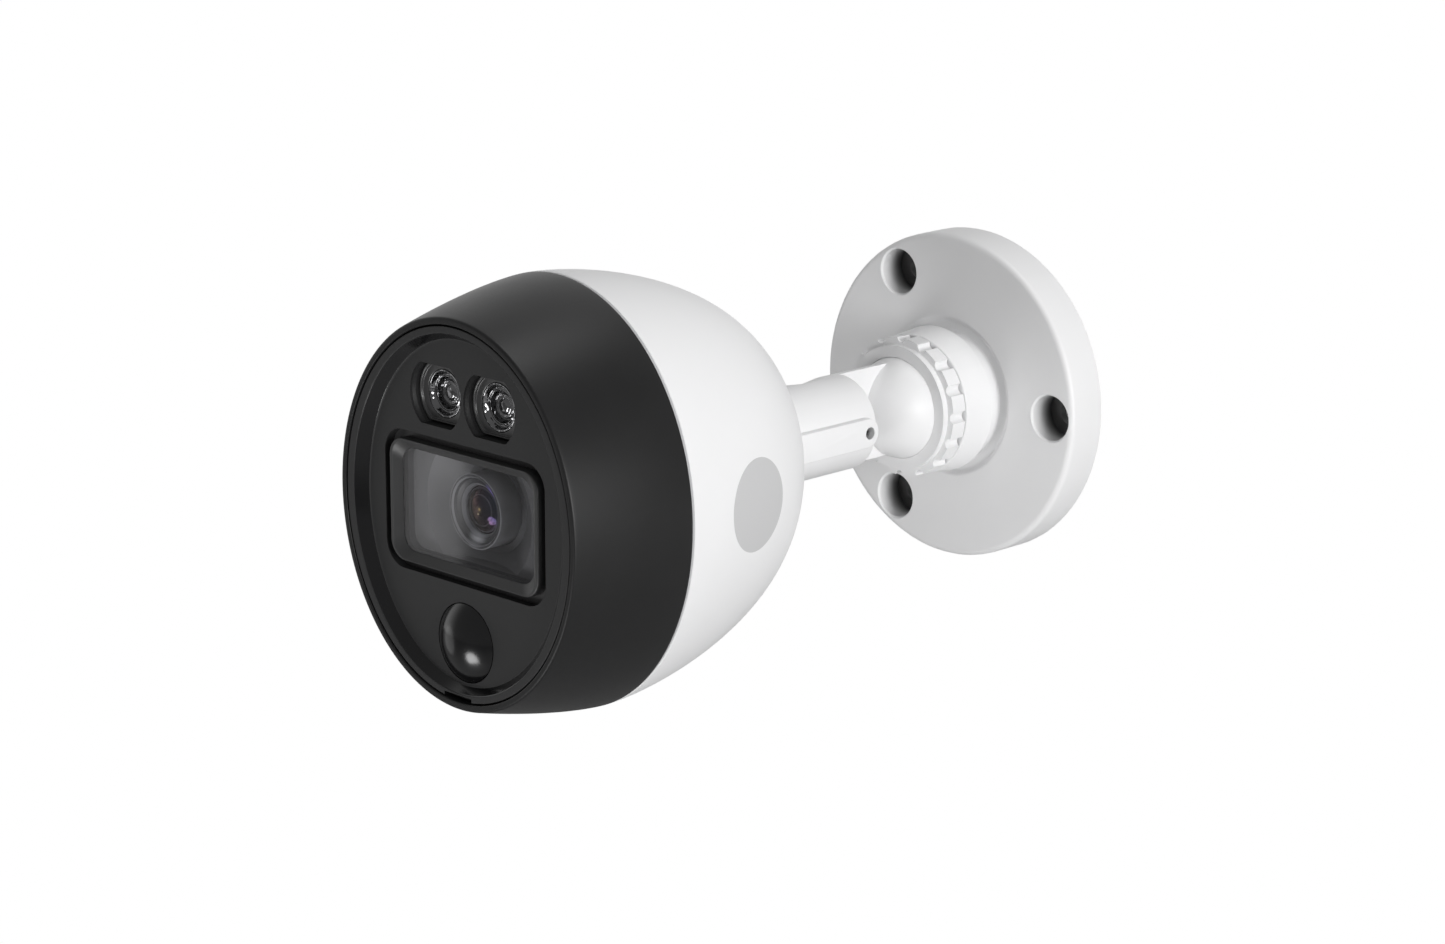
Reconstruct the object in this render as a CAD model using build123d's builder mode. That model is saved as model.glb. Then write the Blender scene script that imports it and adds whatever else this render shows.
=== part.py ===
from build123d import *
import os
from math import sqrt

os.makedirs("parts", exist_ok=True)

# Driving dimensions in millimetres; every depth runs forward from the wall

# Fits
running_fit = 0.05
thread_fit = 0.08
seat_gap = 0.3
glass_gap = 0.2

# Wall plate and its threaded neck
plate_radius = 35.0
plate_thickness = 9.5
plate_edge = 1.2
boss_radius = 15.0
boss_front = 20.0
boss_edge_radius = 15.7
boss_edge_gap = 3.1
boss_root_radius = 14.0
dish_radius = 17.2
dish_slope = 1.0
dish_depth = 1.2
neck_radius = 13.0
neck_front = 23.5
bolt_circle = 57.5
bolt_count = 3
bolt_hole_radius = 2.3
bolt_sink_radius = 4.85
bolt_floor = 3.2
pad_radius = 32.2
pad_thickness = 1.2

# Ball joint
ball_radius = 11.0
ball_depth = 23.3
cup_radius = 11.6
cup_back = 10.4
cup_front = 20.0
pin_radius = 1.5
pin_reach = 11.9
pin_length = 6.0

# Lock ring
ring_front = 25.5
ring_radius = 14.9
ring_lip_radius = 13.4
ring_lip_length = 1.4
ring_lip_chamfer = 0.3
ring_lip_thickness = 1.7
tooth_count = 16
notch_radius = 1.2
notch_circle = 15.1

# Arm
arm_radius = 10.0
arm_front = 70.4
arm_half_front = 42.4
arm_half_offset = 0.5
arm_edge = 1.5
relief_depth = 0.8
relief_radius = 24.0
relief_at = 51.5
relief_lean = (-0.35, 0.0, 0.937)
cover_width = 6.2
cover_face = 11.2
cover_seat = 9.2
cover_back = 42.9
cover_front = 69.9
cover_screw_at = 45.5
cover_screw_radius = 1.0
cover_screw_bottom = 3.2
cover_screw_top = 9.7
stem_radius = 6.0
stem_front = 83.6
seal_at = 75.8
seal_radius = 0.62
clip_radius = 8.0
clip_thickness = 0.9
clip_groove = 1.0

# Head shells
head_aspect = 1.143
front_depth = 148.5
front_half_width = 33.3
seam_depth = 122.1
seam_half_width = 37.6
seam_gap = 0.5
gasket_sink = 0.15
dome_end = 70.6
dome_fullness = 1.566
dome_squareness = 3.3
barrel_fullness = 1.45
shell_wall = 2.4
sleeve_radius = 9.6
sleeve_front = 82.0
badge_radius = 9.2
badge_depth = 101.5
badge_thickness = 0.8

# Front panel
rim_bore = 32.1
ledge_half_width = 30.2
ledge_back = 141.6
panel_back = 144.1
panel_front = 146.1
panel_rim = 148.3
panel_gap = 0.25
recess_top = (29.9, 35.0)
recess_floor = (28.6, 34.0)
notch_width = 7.8
notch_depth = 1.1
panel_boss_x = 21.0
panel_boss_radius = 2.2

# Window and its frame
window_z = -0.35
groove_side = 1.6
groove_end = 1.65
opening_corner = 5.0
frame_width = 42.4
frame_height = 24.3
frame_corner = 4.2
frame_front = 146.4
flange_side = 1.7
flange_end = 0.9
flange_back = 142.3
glass_side = 1.6
glass_end = 0.95
glass_corner = 3.0
glass_back = 143.9
glass_front = 145.2
glass_lip = 1.0
bevel_width = 1.7
gasket_width = 0.9

# Lens
lens_radius = 7.4
lens_front_depth = 143.3
lens_step = 132.0
lens_back = 121.0
lens_lip = 0.8
lens_shoulder = 0.6
thread_radius = 6.0
element_radius = 4.7
element_back = 138.5
element_edge = 141.0
element_top = 142.4
rear_element_radius = 4.2
rear_element_back = 122.0
rear_element_length = 2.0
hood_side = 2.0
hood_end = 1.2
hood_back = 135.4
hood_mouth_radius = 15.0
hood_floor_radius = 9.0
hood_floor = 138.2

# Lens holder, filter and image sensor
holder_width = 28.0
holder_height = 20.0
holder_back = 114.4
holder_bore_back = 120.5
holder_screw_side = 2.5
holder_screw_end = 2.0
light_radius = 3.9
slot_half_length = 12.4
slot_height = 9.2
slot_back = 116.2
slot_front = 118.4
filter_length = 16.2
filter_height = 8.6
filter_back = 116.5
filter_front = 118.1
pane_size = 6.4
pane_offset = 3.9
pane_inset = 0.3
sensor_board_width = 30.0
sensor_board_height = 22.0
board_thickness = 1.2
sensor_width = 8.0
sensor_height = 6.0
sensor_thickness = 1.0
sensor_room = 1.5

# Lights
light_x = 7.65
light_z = 21.7
pocket_radius = 7.35
pocket_flat = 5.95
light_boss_width = 31.8
light_boss_height = 14.2
light_boss_length = 6.3
light_boss_back = panel_back - light_boss_length
light_boss_corner = 5.0
light_lens_radius = 7.0
light_lens_flat = 5.6
light_lens_sink = 1.9
light_lens_front = panel_front - light_lens_sink
light_bowl_radius = 4.6
light_bowl_depth = 3.0
light_pip_radius = 2.3
chip_size = 3.5
chip_thickness = 1.0
chip_room_radius = 3.0
chip_room_depth = 2.2
light_board_height = 13.4
light_board_corner = 2.0
light_screw_inset = 0.4

# Movement sensor
pir_z = -25.4
pir_radius = 7.7
pir_hole_gap = 0.15
pir_flange_radius = 8.9
pir_flange_back = 142.6
pir_height = 2.9
pir_wall = 1.1
pir_board_width = 27.0
pir_board_height = 15.0
pir_board_corner = 1.5
pir_board_front = 135.8
pir_can_radius = 4.6
pir_can_front = 140.0
pir_can_brim = 0.5
pir_can_brim_height = 0.6
pir_post_x = 11.5
pir_post_radius = 1.8

# Chassis, boards and battery
chassis_half_width = 30.2
chassis_half_height = 33.4
chassis_back = 131.4
chassis_front = 133.2
main_board_width = 42.0
main_board_height = 52.0
main_board_back = 104.0
main_board_thickness = 1.6
post_x = 18.0
post_z = 23.0
post_radius = 2.2
can_size = 20.0
can_height = 2.6
can_corner = 1.0
can_at = (-8.0, 8.0)
speaker_radius = 8.5
speaker_height = 5.4
speaker_z = -15.0
antenna_length = 28.0
antenna_width = 6.0
antenna_thickness = 0.8
antenna_z = 22.0
tray_width = 38.0
tray_height = 42.0
tray_back = 88.0
tray_wall = 1.5
battery_gap = 0.2
battery_thickness = 13.7

# Small screws
screw_radius = 0.8
screw_head_radius = 1.6
screw_head = 1.0
screw_bite = 4.6
chassis_screw_radius = 1.1
chassis_screw_head_radius = 2.0
chassis_screw_head = 1.6
chassis_screw_bite = 5.6

# Sizes that follow from the ones above
seam_back = seam_depth - seam_gap / 2
seam_front = seam_depth + seam_gap / 2
panel_half_width = rim_bore - panel_gap
panel_half_height = panel_half_width * head_aspect
main_board_front = main_board_back + main_board_thickness
sensor_board_back = holder_back - board_thickness
light_board_back = light_boss_back - board_thickness
pir_board_back = pir_board_front - board_thickness
opening_width = frame_width + 2 * groove_side
opening_height = frame_height + 2 * groove_end
flange_width = opening_width + 2 * flange_side
flange_height = opening_height + 2 * flange_end
glass_width = frame_width - 2 * glass_side
glass_height = frame_height - 2 * glass_end
hood_width = flange_width - 2 * hood_side
hood_height = flange_height - 2 * hood_end
panel_boss_z = flange_height / 2 - window_z + panel_boss_radius + seat_gap
seat_radius = ball_radius + running_fit
seal_pitch = stem_radius - seal_radius - running_fit / 2
clip_back = sleeve_front + seat_gap
chassis_spots = [(x, z) for x in (-panel_boss_x, panel_boss_x) for z in (-panel_boss_z, panel_boss_z)]
post_spots = [(x, z) for x in (-post_x, post_x) for z in (-post_z, post_z)]
light_spots = [(-light_x, light_z), (light_x, light_z)]
pir_post_spots = [(-pir_post_x, pir_z), (pir_post_x, pir_z)]
light_screw_z = pocket_flat - light_screw_inset
light_screw_spots = [(0, light_z - light_screw_z), (0, light_z + light_screw_z)]
holder_screw_x = holder_width / 2 - holder_screw_side
holder_screw_z = holder_height / 2 - holder_screw_end
holder_spots = [(-holder_screw_x, holder_screw_z), (holder_screw_x, -holder_screw_z)]
dome_stations = (0.0, 0.12, 0.26, 0.40, 0.54, 0.67, 0.78, 0.87, 0.935, 0.975, 0.993)
barrel_stations = (0.0, 0.33, 0.67, 1.0)


# Building blocks: each works on the part that is open when it is called
def level(depth):
    return Plane.XZ.offset(depth)


def rods(radius, back, front, spots=((0, 0),), mode=Mode.ADD):
    with BuildSketch(level(back)) as outline:
        with Locations(*spots):
            Circle(radius)
    extrude(outline.sketch, amount=front - back, mode=mode)


def blocks(width, height, back, front, spots=((0, 0),), corner=0.0, mode=Mode.ADD):
    with BuildSketch(level(back)) as outline:
        with Locations(*spots):
            if corner > 0:
                RectangleRounded(width, height, corner)
            else:
                Rectangle(width, height)
    extrude(outline.sketch, amount=front - back, mode=mode)


def ovals(half_width, half_height, back, front, mode=Mode.ADD):
    with BuildSketch(level(back)) as outline:
        Ellipse(half_width, half_height)
    extrude(outline.sketch, amount=front - back, mode=mode)


def flatted_rods(radius, flat, back, front, spots, mode=Mode.ADD):
    with BuildSketch(level(back)) as outline:
        with Locations(*spots):
            Circle(radius)
        with Locations((0, spots[0][1])):
            Rectangle(8 * radius, 2 * flat, mode=Mode.INTERSECT)
    extrude(outline.sketch, amount=front - back, mode=mode)


def turned(points, z=0.0, mode=Mode.ADD):
    with BuildSketch(Plane.XY.offset(z)) as outline:
        with BuildLine():
            Polyline(*[(radius, -depth) for radius, depth in points], close=True)
        make_face()
    revolve(outline.sketch, axis=Axis((0, 0, z), (0, 1, 0)), mode=mode)


# Outline of the head: half width at each depth, behind and before the seam
def dome_width(depth):
    reach = max(0.0, (seam_depth - depth) / (seam_depth - dome_end))
    return seam_half_width * (1 - reach ** dome_fullness) ** (1 / dome_squareness)


def barrel_width(depth):
    reach = max(0.0, (depth - seam_depth) / (front_depth - seam_depth))
    return seam_half_width - (seam_half_width - front_half_width) * reach ** barrel_fullness


def slope_of(width_at, depth):
    step = 0.005
    return (width_at(depth + step) - width_at(depth - step)) / (2 * step)


def inset_point(width_at, depth, inset):
    slope = slope_of(width_at, depth)
    length = sqrt(1 + slope ** 2)
    return (width_at(depth) - inset / length, -depth - inset * slope / length)


def dome_solid(inset):
    depths = [seam_back - part * (seam_back - dome_end) for part in dome_stations]
    points = [inset_point(dome_width, depth, inset) for depth in depths]
    ends = [(-slope_of(dome_width, depth), 1) for depth in (depths[0], depths[-1])]
    with BuildPart() as solid:
        with BuildSketch(Plane.XY):
            with BuildLine():
                Spline(*points, tangents=ends)
                Polyline(points[-1], (0, points[-1][1]), (0, points[0][1]), points[0])
            make_face()
        revolve(axis=Axis.Y)
        scale(by=(1, 1, head_aspect))
    return solid.part


def barrel_solid(front, inset):
    with BuildPart() as solid:
        outlines = []
        for part in barrel_stations:
            depth = seam_front + part * (front - seam_front)
            half_width = barrel_width(depth) - inset
            with BuildSketch(level(depth)) as outline:
                Ellipse(half_width, half_width * head_aspect)
            outlines.append(outline.sketch)
        loft(outlines)
    return solid.part


def badge_plug(radius):
    slope = slope_of(dome_width, badge_depth)
    middle = (dome_width(badge_depth), -badge_depth, 0)
    with BuildPart() as plug:
        with BuildSketch(Plane(origin=middle, z_dir=(1, slope, 0))):
            Circle(radius)
        extrude(amount=4 * badge_thickness, both=True)
        add(dome_solid(badge_thickness), mode=Mode.SUBTRACT)
    return plug.part


def save(builder, name):
    builder.part.label = name
    export_step(builder.part, "parts/" + name + ".step")


# Wall plate
with BuildPart() as base_plate:
    with BuildSketch(Plane.XY) as plate_profile:
        with BuildLine():
            Polyline(
                (0, 0),
                (plate_radius, 0),
                (plate_radius, -plate_thickness),
                (dish_radius, -plate_thickness),
                (dish_radius - dish_slope, -plate_thickness + dish_depth),
                (boss_root_radius, -plate_thickness + dish_depth),
                (boss_root_radius, -plate_thickness - boss_edge_gap),
                (boss_edge_radius, -plate_thickness - boss_edge_gap),
                (boss_radius, -boss_front),
                (neck_radius, -boss_front),
                (neck_radius, -neck_front),
                (cup_radius + running_fit, -neck_front),
                (cup_radius + running_fit, -cup_back + seat_gap),
                (0, -cup_back + seat_gap),
                close=True,
            )
        make_face()
        rim_corner = plate_profile.vertices().sort_by_distance((plate_radius, -plate_thickness))[0]
        fillet(rim_corner, radius=plate_edge)
    revolve(axis=Axis.Y)
    rods(pad_radius, 0, pad_thickness, mode=Mode.SUBTRACT)
    with BuildSketch(level(0)) as bolt_outline:
        with PolarLocations(bolt_circle / 2, bolt_count):
            Circle(bolt_hole_radius)
    extrude(bolt_outline.sketch, amount=plate_thickness, mode=Mode.SUBTRACT)
    with BuildSketch(level(bolt_floor)) as sink_outline:
        with PolarLocations(bolt_circle / 2, bolt_count):
            Circle(bolt_sink_radius)
    extrude(sink_outline.sketch, amount=plate_thickness, mode=Mode.SUBTRACT)
save(base_plate, "base_plate")

# Foam pad in the back of the plate
with BuildPart() as wall_pad:
    rods(pad_radius - running_fit, 0, pad_thickness)
    with BuildSketch(level(0)) as pad_holes:
        with PolarLocations(bolt_circle / 2, bolt_count):
            Circle(bolt_hole_radius)
    extrude(pad_holes.sketch, amount=pad_thickness, mode=Mode.SUBTRACT)
save(wall_pad, "wall_pad")

# Lock ring: a lip with a spherical seat, and a toothed grip
lip_back = ring_front - ring_lip_thickness
lip_front_radius = sqrt(seat_radius ** 2 - (ring_front - ball_depth) ** 2)
lip_back_radius = sqrt(seat_radius ** 2 - (lip_back - ball_depth) ** 2)
grip_front = ring_front - ring_lip_length
grip_back = boss_front + seat_gap
with BuildPart() as lock_ring:
    with BuildSketch(Plane.XY):
        with BuildLine():
            Polyline(
                (lip_back_radius, -lip_back),
                (neck_radius + thread_fit, -lip_back),
                (neck_radius + thread_fit, -grip_back),
                (ring_radius, -grip_back),
                (ring_radius, -grip_front),
                (ring_lip_radius, -grip_front),
                (ring_lip_radius, -ring_front + ring_lip_chamfer),
                (ring_lip_radius - ring_lip_chamfer, -ring_front),
                (lip_front_radius, -ring_front),
            )
            RadiusArc((lip_front_radius, -ring_front), (lip_back_radius, -lip_back), -seat_radius)
        make_face()
    revolve(axis=Axis.Y)
    with BuildSketch(level(grip_back)) as notches:
        with PolarLocations(notch_circle, tooth_count):
            Circle(notch_radius)
    extrude(notches.sketch, amount=grip_front - grip_back, mode=Mode.SUBTRACT)
save(lock_ring, "lock_ring")

# Cup under the ball, with the slot that guides the pin
slot_side = pin_radius + seat_gap
with BuildPart() as swivel_cup:
    rods(cup_radius, cup_back, cup_front)
    with Locations((0, -ball_depth, 0)):
        Sphere(seat_radius, mode=Mode.SUBTRACT)
    slot_length = cup_radius + slot_side + seat_gap
    slot_middle = slot_side - slot_length / 2
    blocks(slot_length, 2 * slot_side, cup_back, cup_front, [(slot_middle, 0)], mode=Mode.SUBTRACT)
save(swivel_cup, "swivel_cup")

# Arm with its ball, half tail, strip seat and stem
lean = Vector(*relief_lean).normalized()
relief_centre = lean * (arm_radius - relief_depth + relief_radius) + Vector(0, -relief_at, 0)
cover_centre = cover_back + cover_width / 2
with BuildPart() as arm:
    rods(arm_radius, ball_depth, arm_front)
    tail_middle = arm_radius - arm_half_offset
    blocks(2 * arm_radius, 4 * arm_radius, ball_depth, arm_half_front, [(tail_middle, 0)], mode=Mode.SUBTRACT)
    half_end = arm.faces().filter_by(GeomType.PLANE).filter_by(Axis.Y).sort_by(Axis.Y)[-2]
    fillet(half_end.edges().filter_by(GeomType.CIRCLE), radius=arm_edge)
    with BuildSketch(Plane(origin=relief_centre, z_dir=lean.cross(Vector(0, 1, 0)))) as relief:
        Circle(relief_radius)
    extrude(relief.sketch, amount=2 * arm_radius, both=True, mode=Mode.SUBTRACT)
    with Locations((0, -ball_depth, 0)):
        Sphere(ball_radius)
    rods(stem_radius, arm_front, stem_front)
    with BuildSketch(Plane.YZ.offset(cover_seat)) as cover_slot:
        with Locations((-(cover_centre + arm_front) / 2, 0)):
            Rectangle(arm_front - cover_centre, cover_width + 2 * running_fit)
        with Locations((-cover_centre, 0)):
            Circle(cover_width / 2 + running_fit)
    extrude(cover_slot.sketch, amount=arm_radius, mode=Mode.SUBTRACT)
    with BuildSketch(Plane.YZ.offset(cover_screw_bottom)) as screw_hole:
        with Locations((-cover_screw_at, 0)):
            Circle(cover_screw_radius + running_fit)
    extrude(screw_hole.sketch, amount=arm_radius, mode=Mode.SUBTRACT)
    seal_groove_radius = seal_pitch - seal_radius - running_fit
    seal_groove_half = seal_radius + running_fit
    turned(
        [
            (seal_groove_radius, seal_at - seal_groove_half),
            (stem_radius + clip_groove, seal_at - seal_groove_half),
            (stem_radius + clip_groove, seal_at + seal_groove_half),
            (seal_groove_radius, seal_at + seal_groove_half),
        ],
        mode=Mode.SUBTRACT,
    )
    clip_groove_radius = stem_radius - clip_groove
    turned(
        [
            (clip_groove_radius, clip_back),
            (stem_radius + clip_groove, clip_back),
            (stem_radius + clip_groove, clip_back + clip_thickness),
            (clip_groove_radius, clip_back + clip_thickness),
        ],
        mode=Mode.SUBTRACT,
    )
    rods(pin_radius, ball_depth - pin_reach, ball_depth - pin_reach + pin_length, mode=Mode.SUBTRACT)
save(arm, "arm")

# Pin in the ball
with BuildPart() as guide_pin:
    rods(pin_radius, ball_depth - pin_reach, ball_depth - pin_reach + pin_length)
save(guide_pin, "guide_pin")

# Strip along the arm, with its screw
with BuildPart() as arm_cover:
    with BuildSketch(Plane.YZ.offset(cover_seat)) as cover_outline:
        with Locations((-(cover_centre + cover_front) / 2, 0)):
            Rectangle(cover_front - cover_centre, cover_width)
        with Locations((-cover_centre, 0)):
            Circle(cover_width / 2)
    extrude(cover_outline.sketch, amount=cover_face - cover_seat)
    with BuildSketch(Plane.YZ.offset(cover_seat)) as cover_hole:
        with Locations((-cover_screw_at, 0)):
            Circle(cover_screw_radius + running_fit)
    extrude(cover_hole.sketch, amount=arm_radius, mode=Mode.SUBTRACT)
save(arm_cover, "arm_cover")

with BuildPart() as cover_screw:
    with BuildSketch(Plane.YZ.offset(cover_screw_bottom)) as screw_outline:
        with Locations((-cover_screw_at, 0)):
            Circle(cover_screw_radius)
    extrude(screw_outline.sketch, amount=cover_screw_top - cover_screw_bottom)
    with BuildSketch(Plane.YZ.offset(cover_screw_top - cover_screw_radius)) as socket_outline:
        with Locations((-cover_screw_at, 0)):
            RegularPolygon(cover_screw_radius / 2, 6)
    extrude(socket_outline.sketch, amount=cover_screw_radius, mode=Mode.SUBTRACT)
save(cover_screw, "cover_screw")

# Seal and clip on the stem
with BuildPart() as stem_seal:
    with BuildSketch(Plane.XY) as seal_outline:
        with Locations((seal_pitch, -seal_at)):
            Circle(seal_radius)
    revolve(seal_outline.sketch, axis=Axis.Y)
save(stem_seal, "stem_seal")

with BuildPart() as stem_clip:
    rods(clip_radius, clip_back, clip_back + clip_thickness)
    rods(clip_groove_radius, clip_back, clip_back + clip_thickness, mode=Mode.SUBTRACT)
    mouth = (clip_radius / 2, 0)
    blocks(clip_radius, clip_groove_radius, clip_back, clip_back + clip_thickness, [mouth], mode=Mode.SUBTRACT)
save(stem_clip, "stem_clip")

# White rear shell
with BuildPart() as rear_housing:
    add(dome_solid(0) - dome_solid(shell_wall))
    rods(sleeve_radius, dome_end + shell_wall / 2, sleeve_front)
    rods(stem_radius + running_fit, dome_end, sleeve_front, mode=Mode.SUBTRACT)
    add(badge_plug(badge_radius), mode=Mode.SUBTRACT)
save(rear_housing, "rear_housing")

# Round disc on the flank, flush with the shell
with BuildPart() as badge_disc:
    add(badge_plug(badge_radius - running_fit))
    add(dome_solid(0), mode=Mode.INTERSECT)
save(badge_disc, "badge_disc")

# Seal between the two shells
gasket_outer = seam_half_width - gasket_sink
gasket_inner = seam_half_width - shell_wall + gasket_sink
with BuildPart() as seam_gasket:
    ovals(gasket_outer, gasket_outer * head_aspect, seam_back, seam_front)
    ovals(gasket_inner, gasket_inner * head_aspect, seam_back, seam_front, Mode.SUBTRACT)
save(seam_gasket, "seam_gasket")

# Black front shell
with BuildPart() as front_barrel:
    add(barrel_solid(front_depth, 0) - barrel_solid(ledge_back, shell_wall))
    ovals(ledge_half_width, ledge_half_width * head_aspect, ledge_back - shell_wall, panel_back, Mode.SUBTRACT)
    ovals(rim_bore, rim_bore * head_aspect, panel_back, front_depth, Mode.SUBTRACT)
save(front_barrel, "front_barrel")

# Sunk front panel
with BuildPart() as front_panel:
    ovals(panel_half_width, panel_half_height, panel_back, panel_rim)
    with BuildSketch(level(panel_front)) as floor_outline:
        Ellipse(*recess_floor)
    with BuildSketch(level(panel_rim)) as mouth_outline:
        Ellipse(*recess_top)
    loft([floor_outline.sketch, mouth_outline.sketch], mode=Mode.SUBTRACT)
    rods(panel_boss_radius, chassis_front, panel_back, chassis_spots)
    rods(pir_post_radius, pir_board_front, panel_back, pir_post_spots)
    light_boss_spots = [(0, light_z)]
    blocks(light_boss_width, light_boss_height, light_boss_back, panel_back, light_boss_spots, light_boss_corner)
    flatted_rods(pocket_radius, pocket_flat, light_boss_back, panel_front, light_spots, Mode.SUBTRACT)
    window_spots = [(0, window_z)]
    blocks(
        opening_width, opening_height, panel_back, panel_front, window_spots, opening_corner, mode=Mode.SUBTRACT
    )
    rods(pir_radius + pir_hole_gap, panel_back, panel_front, [(0, pir_z)], mode=Mode.SUBTRACT)
    pry_spots = [(0, -panel_half_height)]
    blocks(notch_width, 2 * notch_depth, panel_front, panel_rim, pry_spots, mode=Mode.SUBTRACT)
    chassis_hole = chassis_screw_radius + running_fit
    rods(chassis_hole, chassis_front, chassis_front + chassis_screw_bite, chassis_spots, mode=Mode.SUBTRACT)
    small_hole = screw_radius + running_fit
    rods(small_hole, pir_board_front, pir_board_front + screw_bite, pir_post_spots, mode=Mode.SUBTRACT)
    rods(small_hole, light_boss_back, light_boss_back + screw_bite, light_screw_spots, mode=Mode.SUBTRACT)
save(front_panel, "front_panel")

# Window frame, glass and gasket
with BuildPart() as window_frame:
    blocks(flange_width, flange_height, flange_back, panel_back, window_spots, opening_corner)
    blocks(frame_width, frame_height, panel_back, frame_front, window_spots, frame_corner)
    blocks(
        glass_width + 2 * glass_gap,
        glass_height + 2 * glass_gap,
        flange_back,
        glass_front,
        window_spots,
        glass_corner + glass_gap,
        mode=Mode.SUBTRACT,
    )
    lip_width = glass_width - 2 * glass_lip
    lip_height = glass_height - 2 * glass_lip
    with BuildSketch(level(glass_front)) as lip_outline:
        with Locations((0, window_z)):
            RectangleRounded(lip_width, lip_height, glass_corner - glass_lip / 2)
    with BuildSketch(level(frame_front)) as bevel_outline:
        with Locations((0, window_z)):
            RectangleRounded(lip_width + 2 * bevel_width, lip_height + 2 * bevel_width, glass_corner)
    loft([lip_outline.sketch, bevel_outline.sketch], mode=Mode.SUBTRACT)
save(window_frame, "window_frame")

with BuildPart() as window_glass:
    blocks(glass_width, glass_height, glass_back, glass_front, window_spots, glass_corner)
save(window_glass, "window_glass")

with BuildPart() as window_gasket:
    blocks(glass_width, glass_height, flange_back, glass_back, window_spots, glass_corner)
    gasket_inner_width = glass_width - 2 * gasket_width
    gasket_inner_height = glass_height - 2 * gasket_width
    blocks(
        gasket_inner_width,
        gasket_inner_height,
        flange_back,
        glass_back,
        window_spots,
        glass_corner - gasket_width / 2,
        mode=Mode.SUBTRACT,
    )
save(window_gasket, "window_gasket")

# Hood behind the window
with BuildPart() as hood_cone:
    turned(
        [
            (0, hood_floor),
            (hood_floor_radius, hood_floor),
            (hood_mouth_radius, flange_back),
            (0, flange_back),
        ]
    )
    blocks(gasket_inner_width, gasket_inner_height, hood_floor, flange_back, window_spots, mode=Mode.INTERSECT)

with BuildPart() as lens_hood:
    blocks(hood_width, hood_height, hood_back, flange_back, window_spots, opening_corner)
    add(hood_cone.part, mode=Mode.SUBTRACT)
    rods(lens_radius + glass_gap, hood_back, flange_back, mode=Mode.SUBTRACT)
save(lens_hood, "lens_hood")

# Lens
with BuildPart() as lens_barrel:
    mouth_radius = lens_radius - lens_lip
    element_bore = element_radius + running_fit
    rear_bore = rear_element_radius + running_fit
    turned(
        [
            (rear_element_radius - lens_shoulder, lens_back),
            (thread_radius, lens_back),
            (thread_radius, lens_step),
            (lens_radius, lens_step),
            (lens_radius, lens_front_depth),
            (mouth_radius, lens_front_depth),
            (element_bore, element_edge + lens_shoulder),
            (element_bore, element_back),
            (rear_bore, element_back),
            (rear_bore, rear_element_back),
            (rear_element_radius - lens_shoulder, rear_element_back),
        ]
    )
save(lens_barrel, "lens_barrel")

with BuildPart() as lens_front:
    with BuildSketch(Plane.XY) as element_outline:
        with BuildLine():
            element_drop = element_top - element_edge
            bulge_radius = (element_radius ** 2 + element_drop ** 2) / (2 * element_drop)
            Polyline(
                (0, -element_top),
                (0, -element_back),
                (element_radius, -element_back),
                (element_radius, -element_edge),
            )
            RadiusArc((element_radius, -element_edge), (0, -element_top), bulge_radius)
        make_face()
    revolve(element_outline.sketch, axis=Axis.Y)
save(lens_front, "lens_front")

with BuildPart() as lens_rear:
    rods(rear_element_radius, rear_element_back, rear_element_back + rear_element_length)
save(lens_rear, "lens_rear")

with BuildPart() as lens_holder:
    blocks(holder_width, holder_height, holder_back, chassis_back)
    rods(thread_radius + running_fit, holder_bore_back, chassis_back, mode=Mode.SUBTRACT)
    rods(light_radius, holder_back, chassis_back, mode=Mode.SUBTRACT)
    blocks(2 * slot_half_length, slot_height, slot_back, slot_front, mode=Mode.SUBTRACT)
    room_width = sensor_width + 2 * seat_gap
    room_height = sensor_height + 2 * seat_gap
    blocks(room_width, room_height, holder_back, holder_back + sensor_room, mode=Mode.SUBTRACT)
    rods(small_hole, holder_back, holder_back + screw_bite, holder_spots, mode=Mode.SUBTRACT)
save(lens_holder, "lens_holder")

# Day and night filter
pane_spots = [(0, 0), (2 * pane_offset, 0)]
with BuildPart() as filter_frame:
    blocks(filter_length, filter_height, filter_back, filter_front, [(pane_offset, 0)])
    blocks(pane_size, pane_size, filter_back, filter_front, pane_spots, mode=Mode.SUBTRACT)
save(filter_frame, "filter_frame")

for pane_name, pane_spot in (("filter_day_pane", pane_spots[0]), ("filter_night_pane", pane_spots[1])):
    with BuildPart() as pane:
        blocks(pane_size, pane_size, filter_back + pane_inset, filter_front - pane_inset, [pane_spot])
    save(pane, pane_name)

# Image sensor on its board
with BuildPart() as sensor_board:
    blocks(sensor_board_width, sensor_board_height, sensor_board_back, holder_back)
    rods(small_hole, sensor_board_back, holder_back, holder_spots, mode=Mode.SUBTRACT)
save(sensor_board, "sensor_board")

with BuildPart() as image_sensor:
    blocks(sensor_width, sensor_height, holder_back, holder_back + sensor_thickness)
save(image_sensor, "image_sensor")

# Lights: board, chips and clear lenses
with BuildPart() as led_board:
    blocks(light_boss_width, light_board_height, light_board_back, light_boss_back, light_boss_spots, light_board_corner)
    rods(small_hole, light_board_back, light_boss_back, light_screw_spots, mode=Mode.SUBTRACT)
save(led_board, "led_board")

with BuildPart() as led_chips:
    blocks(chip_size, chip_size, light_boss_back, light_boss_back + chip_thickness, light_spots)
save(led_chips, "led_chips")

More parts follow.
